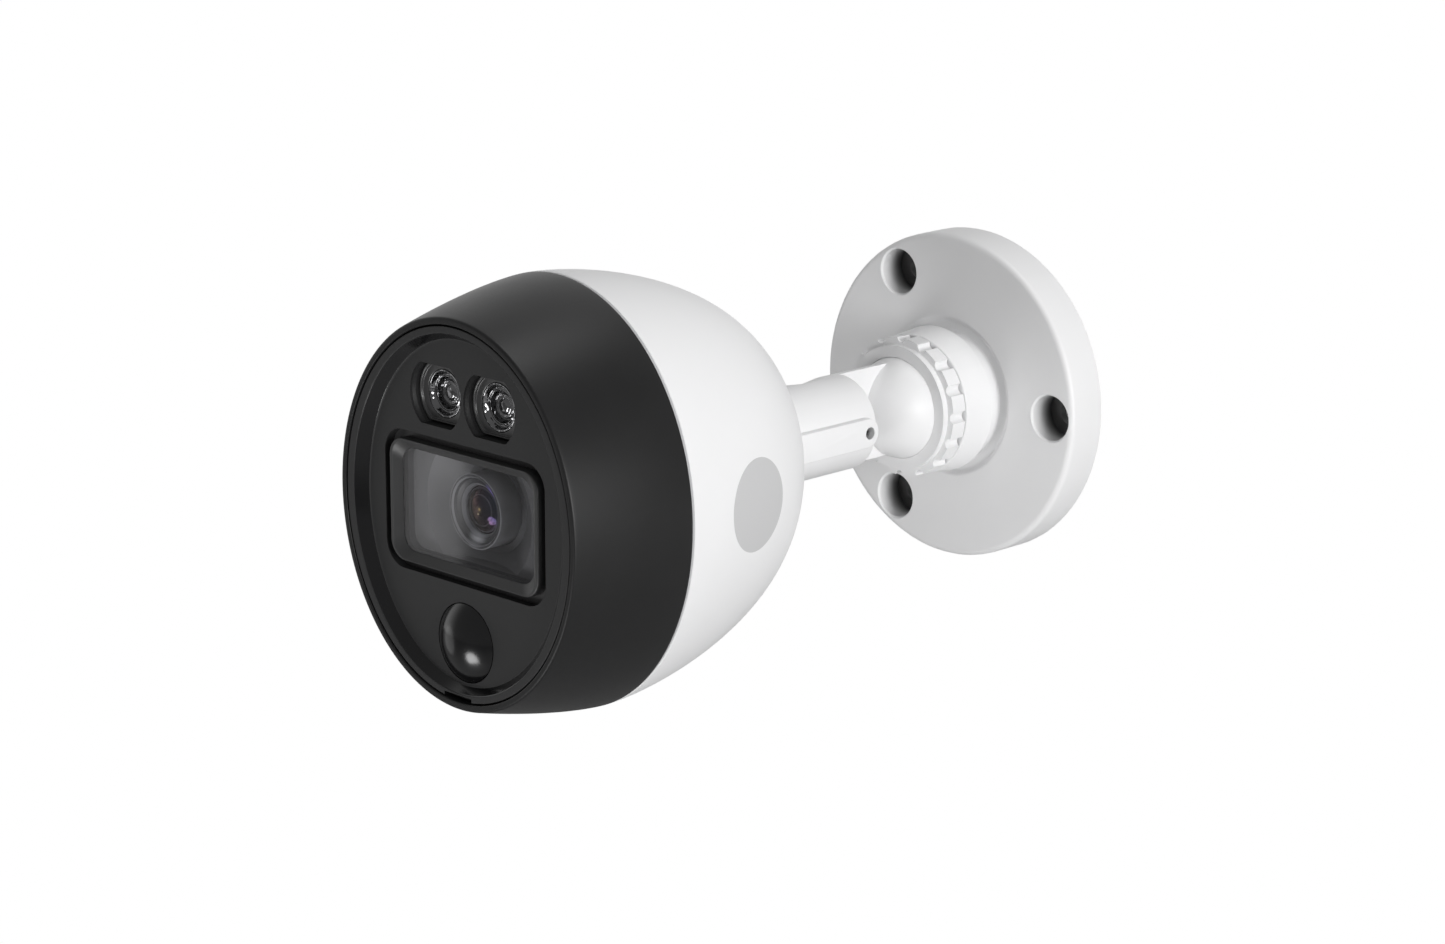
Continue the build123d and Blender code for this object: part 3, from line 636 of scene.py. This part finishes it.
beyond = 20
cut_side, cut_end = -0.5, 42.4
carve(arm_bar, block("half_tool", (cut_side, -cut_end, -beyond), (beyond, -beyond, beyond)))

dip_radius, dip_depth, dip_place = 24.0, 0.8, 51.5
lean = Vector((-0.35, 0, 0.937)).normalized()
dip_tool = turned("dip_tool", [(dip_radius, -beyond, 0), (dip_radius, beyond, 0)])
dip_centre = lean * (arm_radius - dip_depth + dip_radius) + Vector((0, -dip_place, 0))
lay(dip_tool, lean.cross(Vector((0, 1, 0))), dip_centre)
carve(arm_bar, dip_tool)
soften(arm_bar, 0.5, 4)

hole_radius, hole_place = 1.3, 45.5


def side_hole(start, end):
    piece = rod("hole_tool", hole_radius, start, end, sides=48)
    lay(piece, Vector((1, 0, 0)), Vector((0, -hole_place, 0)))
    return piece


carve(arm_bar, side_hole(3.0, 12.0))
print(arm_bar.name, "faces after the cuts:", len(arm_bar.data.polygons))

# %% [markdown]
# The ball is turned from a half circle and joined to the bar by a boolean, which leaves a crisp line where the two
# meet, as on the moulded arm.

# %% Ball of the arm
ball_steps = 64
ball_outline = []
for step in range(ball_steps + 1):
    turn = pi * step / ball_steps
    ball_outline.append((max(core, ball_radius * sin(turn)), ball_depth - ball_radius * cos(turn), 0))
carve(arm_bar, turned("ball_tool", ball_outline), "UNION")
smooth(arm_bar, 15)
arm_bar.data.materials.append(white_plastic)
fit_piece(arm_bar, "arm", "white_plastic", "arm")

# %% [markdown]
# A raised strip runs along the side of the arm, with a round end and one small screw hole. A stretched cube would
# have square ends, so it starts as a plane: the two corners next to the ball are rounded, and the face is pulled
# out.

# %% Strip on the arm
strip_half = 3.1
strip_start, strip_end = 42.9, 69.9
strip_floor, strip_rise = 9.2, 2.0
strip_centre = -(strip_end + strip_start) / 2 * MM
strip_reach = (strip_end - strip_start) / 2 * MM
bpy.ops.object.select_all(action="DESELECT")
bpy.ops.mesh.primitive_plane_add(size=2, rotation=(0, pi / 2, 0))
arm_strip = bpy.context.object
arm_strip.name = "arm_strip"
bpy.ops.object.transform_apply(rotation=True)
bpy.ops.object.mode_set(mode="EDIT")
bpy.ops.mesh.select_all(action="SELECT")
bpy.ops.transform.resize(value=(1, strip_reach, strip_half * MM), center_override=(0, 0, 0))
bpy.ops.transform.translate(value=(strip_floor * MM, strip_centre, 0))
bpy.ops.mesh.select_all(action="DESELECT")
bpy.ops.object.mode_set(mode="OBJECT")
for corner in arm_strip.data.vertices:
    corner.select = corner.co.y > strip_centre
bpy.ops.object.mode_set(mode="EDIT")
bpy.ops.mesh.bevel(offset=strip_half * 0.995 * MM, segments=16, affect="VERTICES")
bpy.ops.mesh.select_all(action="SELECT")
bpy.ops.mesh.extrude_region_move(TRANSFORM_OT_translate={"value": (strip_rise * MM, 0, 0)})
bpy.ops.mesh.select_all(action="SELECT")
bpy.ops.mesh.normals_make_consistent(inside=False)
bpy.ops.object.mode_set(mode="OBJECT")
soften(arm_strip, 0.3, 3)
carve(arm_strip, side_hole(8.0, 14.0))
smooth(arm_strip)
arm_strip.data.materials.append(white_plastic)
fit_piece(arm_strip, "arm", "white_plastic", "arm_cover")

# %% [markdown]
# The head is an egg cut in two. Its half width at each depth follows a superellipse behind the seam and a gentle
# curve before it, and both halves are a little taller than wide. A scaled ball would be too pointed at the back, so
# the curve is written as a function and read wherever a piece needs it.

# %% Outline of the head
head_aspect = 1.143
seam_depth = 122.1
seam_half_width = 37.6
seam_gap = 0.5
seam_back = seam_depth - seam_gap / 2
seam_front = seam_depth + seam_gap / 2
dome_end = 70.6
dome_round, dome_square = 1.566, 3.3
front_depth = 148.5
front_half_width = 33.3
barrel_round = 1.45
shell_wall = 2.4
dome_steps = 60
dome_crowding = 2.2
dome_share = 0.9935


def dome_width(depth):
    reach = (seam_depth - depth) / (seam_depth - dome_end)
    return seam_half_width * (1 - reach ** dome_round) ** (1 / dome_square)


def barrel_width(depth):
    reach = (depth - seam_depth) / (front_depth - seam_depth)
    return seam_half_width - (seam_half_width - front_half_width) * reach ** barrel_round


def dome_outline(grow):
    parts = [1 - (1 - step / dome_steps) ** dome_crowding for step in range(dome_steps + 1)]
    depths = [seam_back - part * (seam_back - dome_end) * dome_share for part in parts]
    return [(dome_width(depth) + grow, depth, 0) for depth in depths]


print("half width of the dome at its seam:", dome_width(seam_back))

# %% [markdown]
# The white rear shell is one closed ring: out along the dome, in through the sleeve that turns on the arm's stem,
# and back along the inner wall. Drawing both walls at once gives an even thickness at the seam.

# %% White rear shell
sleeve_radius, sleeve_wall, sleeve_front = 6.05, 9.6, 82.0
inner_narrowest, inner_deepest = 14, 80
outer_dome = dome_outline(0)
inner_dome = []
for width, depth, soft in reversed(outer_dome):
    if width > inner_narrowest and depth > inner_deepest:
        inner_dome.append((width - shell_wall, depth, 0))
sleeve = [
    (sleeve_radius, outer_dome[-1][1], 0),
    (sleeve_radius, sleeve_front, 0),
    (sleeve_wall, sleeve_front, 0),
]
seam_edge = (outer_dome[0][0], outer_dome[0][1], 0.25)
rear_shell = turned("rear_shell", [seam_edge] + outer_dome[1:] + sleeve + inner_dome, head_aspect, True)
smooth(rear_shell, 40)
rear_shell.data.materials.append(white_plastic)
fit_piece(rear_shell, "head", "white_plastic", "rear_housing")

# %% [markdown]
# A round grey disc lies flush in the flank. A flat disc would stand off at its edges, so a plug is cut from the same
# egg shape, a hair larger, and follows the curve of the shell all over.

# %% Disc on the flank
disc_depth = 101.5
disc_radius = 9.2
disc_proud = 0.03
probe = 0.01
flank_slope = (dome_width(disc_depth + probe) - dome_width(disc_depth - probe)) / (2 * probe)
flank_normal = Vector((1, flank_slope, 0)).normalized()
flank_disc = rod("flank_disc", disc_radius, -1.6, 3)
lay(flank_disc, flank_normal, Vector((dome_width(disc_depth), -disc_depth, 0)))
disc_skin = turned("disc_skin", dome_outline(disc_proud), head_aspect)
carve(flank_disc, disc_skin, "INTERSECT")
smooth(flank_disc, 40)
flank_disc.data.materials.append(grey_plastic)
fit_piece(flank_disc, "head", "grey_plastic", "badge_disc")

# %% [markdown]
# A thin pale seal shows as a line between the two shells. It is a flat ring that stays a little inside the seam, so
# it reads as a groove.

# %% Seal at the seam
seal_inner, seal_outer = 35.35, 37.4
seal_outline = [
    (seal_inner, seam_back, 0),
    (seal_outer, seam_back, 0),
    (seal_outer, seam_front, 0),
    (seal_inner, seam_front, 0),
]
seam_seal = turned("seam_seal", seal_outline, head_aspect, True)
smooth(seam_seal)
seam_seal.data.materials.append(pale_rubber)
fit_piece(seam_seal, "head", "pale_rubber", "seam_gasket")

# %% [markdown]
# The black front shell narrows towards its rim. The rim is a thin band with a soft edge, and behind it a ledge
# carries the sunk panel. As with the rear shell, one closed ring gives the outside, the ledge and the inside.

# %% Black front shell
barrel_steps = 24
ledge_depth = 144.1
rim_bore, ledge_bore = 32.1, 30.2
outer_barrel = []
for step in range(barrel_steps + 1):
    depth = seam_front + (front_depth - seam_front) * step / barrel_steps
    soft = {0: 0.25, barrel_steps: 0.45}.get(step, 0)
    outer_barrel.append((barrel_width(depth), depth, soft))
bore = [
    (rim_bore, front_depth, 0.3),
    (rim_bore, ledge_depth, 0),
    (ledge_bore, ledge_depth, 0),
    (ledge_bore, 141.6, 0),
]
inner_front = 141
inner_barrel = [(width - shell_wall, depth, 0) for width, depth, soft in reversed(outer_barrel) if depth < inner_front]
front_shell = turned("front_shell", outer_barrel + bore + inner_barrel, head_aspect, True)
smooth(front_shell, 40)
front_shell.data.materials.append(black_plastic)
fit_piece(front_shell, "head", "black_plastic", "front_barrel")


# %% [markdown]
# The window and its neighbours are boxes with round corners. They start as a plane whose four corners are rounded,
# and the loop is then drawn out as the ovals are.

# %% Helpers for boxes with round corners
def box_loop(name, half_width, half_height, depth, corner):
    bpy.ops.object.select_all(action="DESELECT")
    bpy.ops.mesh.primitive_plane_add(size=2, rotation=(pi / 2, 0, 0))
    piece = bpy.context.object
    piece.name = name
    bpy.ops.object.transform_apply(rotation=True)
    bpy.ops.object.mode_set(mode="EDIT")
    bpy.ops.mesh.select_all(action="SELECT")
    bpy.ops.transform.resize(value=(half_width * MM, 1, half_height * MM), center_override=(0, 0, 0))
    bpy.ops.transform.translate(value=(0, -depth * MM, 0))
    bpy.ops.mesh.bevel(offset=corner * MM, segments=10, affect="VERTICES")
    bpy.ops.mesh.delete(type="ONLY_FACE")
    bpy.ops.mesh.select_all(action="SELECT")
    return piece


def framed(name, corners, corner, ring=False, z=0.0):
    stations = rounded(corners, ring)
    piece = box_loop(name, *stations[0], corner)
    draw_out(stations)
    return close_up(piece, z=z)


def slab(name, half_width, half_height, start, end, corner, z):
    corners = [(half_width, half_height, start, 0), (half_width, half_height, end, 0)]
    return framed(name, corners, corner, z=z)


# %% [markdown]
# The pockets of the lights are round with flats above and below. A circle is turned first, and what lies past the
# flats is then pressed flat by scaling it to nothing, which keeps the round sides exact.

# %% Helper for flatted rounds
def flatted(name, radius, flat, outline, x, z):
    piece = turned(name, [(radius * scale, depth, 0) for scale, depth in outline], sides=96)
    only(piece)
    for side in (1, -1):
        bpy.ops.object.mode_set(mode="EDIT")
        bpy.ops.mesh.select_all(action="DESELECT")
        bpy.ops.object.mode_set(mode="OBJECT")
        for corner in piece.data.vertices:
            corner.select = corner.co.z * side > flat * MM
        bpy.ops.object.mode_set(mode="EDIT")
        bpy.ops.transform.resize(value=(1, 1, 0), center_override=(0, 0, side * flat * MM))
    bpy.ops.mesh.select_all(action="SELECT")
    bpy.ops.mesh.remove_doubles(threshold=merge_gap)
    bpy.ops.transform.translate(value=(x * MM, 0, z * MM))
    bpy.ops.object.mode_set(mode="OBJECT")
    return piece


# %% [markdown]
# The panel is a shallow dish with a raised edge. Openings are cut for the two lights, the window and the movement
# sensor, and a pry notch at the bottom. The pockets of the lights have their own block behind the panel.

# %% Sunk panel and its openings
panel_front = 146.1
panel_rim = 148.3
light_z = 21.7
light_spots = ((-7.65, light_z), (7.65, light_z))
window_z = -0.35
sensor_z = -25.4
dish = [
    (31.85, 36.4, ledge_depth, 0),
    (31.85, 36.4, panel_rim, 0.3),
    (29.9, 35.0, panel_rim, 0.35),
    (27.6, 33.7, panel_front, 0.4),
    (core, core, panel_front, 0),
]
panel = drawn("panel", dish)
carve(panel, slab("light_block", 15.9, 7.1, 137.8, 144.6, 5.0, light_z), "UNION")
pocket_outline = [(0.965, 139.0), (0.965, 144.9), (1, 145.6), (1, 147.0)]
for x, z in light_spots:
    carve(panel, flatted("pocket_tool", 7.35, 5.95, pocket_outline, x, z))
carve(panel, slab("window_tool", 22.8, 13.8, 143.0, 147.0, 5.0, window_z))
carve(panel, rod("sensor_tool", 7.9, 143, 147, z=sensor_z))
carve(panel, block("pry_tool", (-3.9, -149, -37.5), (3.9, -146.6, -35.3)))
soften(panel, 0.16, 2)
print(panel.name, "openings cut:", len(light_spots) + 3)

# %% [markdown]
# The sloping edge of the dish is glossier than the rest of the panel. Its faces are picked by their place on an oval
# and by their slope, and get the second finish.

# %% Finish of the panel
slope_half_width, slope_half_height = 28.7, 34.4
panel.data.materials.append(charcoal_plastic)
panel.data.materials.append(trim_black)
trim_faces = 0
for face in panel.data.polygons:
    across, depth, up = face.center.x / MM, -face.center.y / MM, face.center.z / MM
    on_oval = 0.90 < (across / slope_half_width) ** 2 + (up / slope_half_height) ** 2 < 1.12
    on_slope = panel_front + 0.1 < depth < panel_rim - 0.05 and abs(face.normal.y) < 0.85
    if on_oval and on_slope:
        face.material_index = 1
        trim_faces += 1
print("faces of the sloping edge:", trim_faces)
fit_piece(panel, "head", "charcoal_plastic", "front_panel")

# %% [markdown]
# The window sits in a frame of its own, in a groove of the panel. The frame slopes inwards to the glass, and the
# slope is what catches the light. The pane has no bevel, because soft edges would bend its mirror image.

# %% Window frame and glass
frame_corners = [
    (24.5, 14.7, 142.3, 0),
    (24.5, 14.7, ledge_depth, 0),
    (21.2, 12.15, ledge_depth, 0),
    (21.2, 12.15, 146.5, 0.45),
    (20.35, 11.9, 146.5, 0.2),
    (18.6, 10.2, 145.2, 0.1),
    (19.8, 11.4, 145.2, 0),
    (19.8, 11.4, 142.3, 0),
]
window_rim = framed("window_rim", frame_corners, 4.6, True, z=window_z)
smooth(window_rim)
window_rim.data.materials.append(frame_plastic)
fit_piece(window_rim, "head", "frame_plastic", "window_frame")

window_pane = slab("window_pane", 19.6, 11.2, 143.9, 145.15, 3.0, window_z)
window_pane.data.materials.append(window_clear)
fit_piece(window_pane, "head", "window", "window_glass")

# %% [markdown]
# Behind the glass a hood opens towards the front in a cone. The cone is wider than the window is tall, so its tool is
# first trimmed to the window's mouth, and then cut out of a plain block.

# %% Hood behind the window
hood = slab("hood", 22.5, 13.5, 135.4, 142.3, 5.0, window_z)
hood_tool = turned("hood_tool", [(core, 138.2, 0), (9.0, 138.2, 0), (15.6, 142.71, 0), (core, 142.71, 0)])
carve(hood_tool, slab("mouth", 18.7, 10.3, 137, 143, 2.5, window_z), "INTERSECT")
carve(hood, hood_tool)
carve(hood, rod("lens_tool", 7.6, 134, 143))
soften(hood, 0.2, 2)
hood.data.materials.append(lens_black)
fit_piece(hood, "head", "lens_black", "lens_hood")


# %% [markdown]
# The lens stands in the middle of the hood: a stepped barrel, and a bulging front element. The bulge is a cap of a
# ball, whose radius follows from the width and the rise of the cap.

# %% Lens
def cap_depth(width, base, rise, top):
    radius = (base ** 2 + rise ** 2) / (2 * rise)
    return top - radius + sqrt(radius ** 2 - width ** 2)


lens_outline = [
    (3.6, 121.0, 0),
    (6.0, 121.0, 0),
    (6.0, 132.0, 0),
    (7.4, 132.0, 0),
    (7.4, 143.3, 0.2),
    (6.75, 143.3, 0.12),
    (6.2, 142.5, 0),
    (5.4, 142.2, 0),
    (4.75, 141.5, 0.1),
    (4.75, 138.5, 0),
    (4.25, 138.5, 0),
    (4.25, 122.0, 0),
    (3.6, 122.0, 0),
]
lens_tube = turned("lens_tube", lens_outline, ring=True, sides=128)
smooth(lens_tube)
lens_tube.data.materials.append(lens_ring)
fit_piece(lens_tube, "head", "lens_black", "lens_barrel")

element_radius, element_rise = 4.7, 1.4
element_back, element_front = 138.5, 142.4
element_steps = 16
element_outline = [(core, element_back, 0), (element_radius, element_back, 0)]
for step in range(element_steps + 1):
    width = max(core, element_radius * (1 - step / element_steps))
    element_outline.append((width, cap_depth(width, element_radius, element_rise, element_front), 0))
front_element = turned("front_element", element_outline, sides=128)
smooth(front_element)
front_element.data.materials.append(optic_glass)
fit_piece(front_element, "head", "optic_glass", "lens_front")

# %% [markdown]
# Each light has a dark flatted bezel that nearly fills its pocket, with a silvered lens cup in its middle. The cup is
# turned with rings inside, which sparkle at many angles. Both lights come from the same outlines, each with its own
# mesh.

# %% Light bezels and lens cups
bezel_front = 144.2
bezel_step = 0.45
cup_outline = [
    (core, 138.2, 0),
    (4.7, 138.2, 0),
    (4.7, 143.8, 0.15),
    (4.3, 143.8, 0.15),
    (3.7, 142.8, 0.3),
    (3.2, 143.1, 0.2),
    (2.6, 141.7, 0.3),
    (2.2, 142.3, 0.25),
    (1.7, 142.1, 0.2),
    (1.1, 142.5, 0.3),
    (core, 142.6, 0),
]
for (x, z), side in zip(light_spots, ("left", "right")):
    bezel = flatted("light_bezel_" + side, 6.9, 5.6, [(1, 138.0), (1, bezel_front)], x, z)
    carve(bezel, rod("bore_tool", 4.75, 137, 145, x=x, z=z, sides=64))
    step_outline = [(1, bezel_front - bezel_step), (1.03, bezel_front + 1)]
    carve(bezel, flatted("step_tool", 6.3, 5.25, step_outline, x, z))
    soften(bezel, 0.15, 2)
    bezel.data.materials.append(bezel_plastic)
    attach(bezel, "head")
    cup = turned("light_lens_" + side, cup_outline, x=x, z=z, sides=96)
    smooth(cup, 50)
    cup.data.materials.append(silvered)
    fit_piece(cup, "head", "clear_lens", "led_lens_" + side)

# %% [markdown]
# The movement sensor looks out through a black dome that stands proud of the panel. A half ball would be too tall,
# so the dome is a low cap with a flange behind the panel, hollow inside.

# %% Dome of the movement sensor
sensor_radius, sensor_rise = 7.7, 2.9
sensor_top = panel_front + sensor_rise
sensor_inner, sensor_flange, sensor_back = 6.6, 8.9, 142.6
sensor_steps = 24
sensor_outline = [
    (sensor_inner, sensor_back, 0),
    (sensor_flange, sensor_back, 0),
    (sensor_flange, ledge_depth, 0),
    (sensor_radius, ledge_depth, 0),
]
for step in range(sensor_steps + 1):
    width = max(core, sensor_radius * cos(pi / 2 * step / sensor_steps))
    sensor_outline.append((width, cap_depth(width, sensor_radius, sensor_rise, sensor_top), 0))
sensor_outline += [(core, sensor_top - 1.1, 0), (sensor_inner, panel_front - 0.6, 0)]
sensor_dome = turned("sensor_dome", sensor_outline, z=sensor_z, sides=128)
smooth(sensor_dome)
sensor_dome.data.materials.append(dome_black)
fit_piece(sensor_dome, "head", "dome_black", "pir_lens")

# %% [markdown]
# The other solids are hidden or small, so they stay as they are and get their finishes from this list, by name.

# %% Finishes of the solids
solid_finishes = {
    "wall_pad": foam,
    "swivel_cup": nylon,
    "guide_pin": steel,
    "cover_screw": dark_steel,
    "stem_seal": black_rubber,
    "stem_clip": steel,
    "window_gasket": gasket_painted_lighter,
    "lens_rear": optic_glass,
    "lens_holder": lens_black,
    "filter_frame": lens_black,
    "filter_day_pane": window_clear,
    "filter_night_pane": lens_clear,
    "sensor_board": circuit_board,
    "image_sensor": chip,
    "led_board": circuit_board,
    "led_chips": light_chip,
    "pir_board": circuit_board,
    "pir_sensor": steel,
    "chassis": black_plastic,
    "board_posts": nylon,
    "main_board": circuit_board,
    "shield_can": steel,
    "antenna": circuit_board,
    "speaker": black_plastic,
    "battery_tray": black_plastic,
    "battery_pack": battery,
    "chassis_screws": steel,
    "board_screws": steel,
}
for name, finish in solid_finishes.items():
    solid = nodes[name]
    solid.data.materials.clear()
    solid.data.materials.append(finish)
print("solids finished:", len(solid_finishes))


# %% [markdown]
# The studio is plain: a pale floor well below the part and a white surround. Both glow white for the camera. Mirrors
# and glass see that white only in the far half of the studio, so the black front keeps its depth. That white gives no
# light to the part.

# %% Floor
def backdrop_share(place, region):
    camera_ray, glossy_ray, clear_ray = (
        place.make("LightPath", {}, {}, "Is " + ray + " Ray") for ray in ("Camera", "Glossy", "Transmission"))
    mirrored = region * glossy_ray.math("MAXIMUM", glossy_ray, clear_ray)
    return mirrored.math("MAXIMUM", camera_ray, mirrored)


floor_height = -0.42
bpy.ops.object.select_all(action="DESELECT")
bpy.ops.mesh.primitive_plane_add(size=6, location=(0, 0, floor_height))
floor = bpy.context.object
floor.name = "floor"
floor_finish, floor_shader, floor_place = start_finish("floor_finish", Roughness=0.8)
plug(floor_shader, Base_Color=blend_colours(noise(floor_place, 90.0), (0.44, 0.44, 0.44), (0.48, 0.48, 0.48)))
floor_y = split(floor_place, "Y")[0]
far_floor = eased(floor_y, 0.5, 1.0)
glow = floor_place.make("Emission", {}, {"Color": (1, 1, 1, 1), "Strength": 1.0})
matt_floor = Wire(floor_shader.outputs[0])
seen_floor = floor_place.make("MixShader", {}, {0: backdrop_share(floor_place, far_floor), 1: matt_floor, 2: glow})
floor_output = floor_finish.node_tree.nodes["Material Output"]
seen_floor.tree.links.new(seen_floor.socket, floor_output.inputs["Surface"])
floor.data.materials.append(floor_finish)
print("floor height:", floor_height)

# %% [markdown]
# The surround lights the part evenly and weakly from all sides. It is white to the camera, and to mirrors and glass
# that look away from it, and dim to everything else.

# %% Surround
world_light = 0.265
backdrop_way = (-0.68, 0.70, -0.22)
world = bpy.data.worlds.new("surround")
bpy.context.scene.world = world
world.use_nodes = True
backdrop = world.node_tree.nodes["Background"]
backdrop.inputs["Color"].default_value = (1, 1, 1, 1)
compass = Wire(world.node_tree.nodes.new("ShaderNodeTexCoord").outputs["Generated"])
away = compass.make("VectorMath", {"operation": "DOT_PRODUCT"}, {0: compass, 1: backdrop_way}, "Value")
behind = eased(away, 0.0, 0.5)
plug(backdrop, Strength=world_light + (1 - world_light) * backdrop_share(compass, behind))
print("surround light:", world_light)


# %% [markdown]
# The lamps are large soft discs. The key lamp stands to the right, where the flank is brightest, and the top lamp
# lifts the upper edges. Two weak lamps, at the left and low in front, are there for the dark front: they give the
# window its veil and the sensor's dome its glints.

# %% Lamps
def lamp(name, place, target, size, power):
    data = bpy.data.lights.new(name, "AREA")
    data.shape = "DISK"
    data.size = size
    data.energy = power
    thing = bpy.data.objects.new(name, data)
    bpy.context.scene.collection.objects.link(thing)
    thing.location = place
    thing.rotation_euler = (Vector(target) - Vector(place)).to_track_quat("-Z", "Y").to_euler()
    print("lamp:", name, "power:", power)


part_middle = (0, -0.075, 0)
window_place = (0, -0.145, 0)
lamp("key", (1.25, -0.32, 0.14), part_middle, 0.6, 13.2)
lamp("top", (0.1, 0.1, 1.2), part_middle, 0.6, 3.5)
lamp("left", (-0.70, -0.48, -0.20), window_place, 0.42, 0.30)
lamp("low", (-0.105, -0.636, -0.36), window_place, 0.24, 1.4)

# %% [markdown]
# The camera stands where the photograph was taken from: to the front right and a little above, with a long lens. Its
# place, its axes and its lens were fitted to the photograph.

# %% Camera
camera_place = Vector((508.16, -584.77, 185.35))
camera_right = Vector((0.7062, 0.7080, 0.0027))
camera_down = Vector((0.1827, -0.1786, -0.9668))
view_data = bpy.data.cameras.new("photo_camera")
view_data.sensor_width = 36.0
view_data.lens = 91.76
view_data.clip_start = 0.01
view_data.clip_end = 20
photo_camera = bpy.data.objects.new("photo_camera", view_data)
bpy.context.scene.collection.objects.link(photo_camera)
forward = camera_right.cross(camera_down).normalized()
down = forward.cross(camera_right).normalized()
camera_turn = Matrix((camera_right.normalized(), -down, -forward)).transposed().to_4x4()
photo_camera.matrix_world = Matrix.Translation(camera_place * MM) @ camera_turn
bpy.context.scene.camera = photo_camera
bpy.context.scene.view_settings.view_transform = "Standard"
print("camera lens:", view_data.lens)
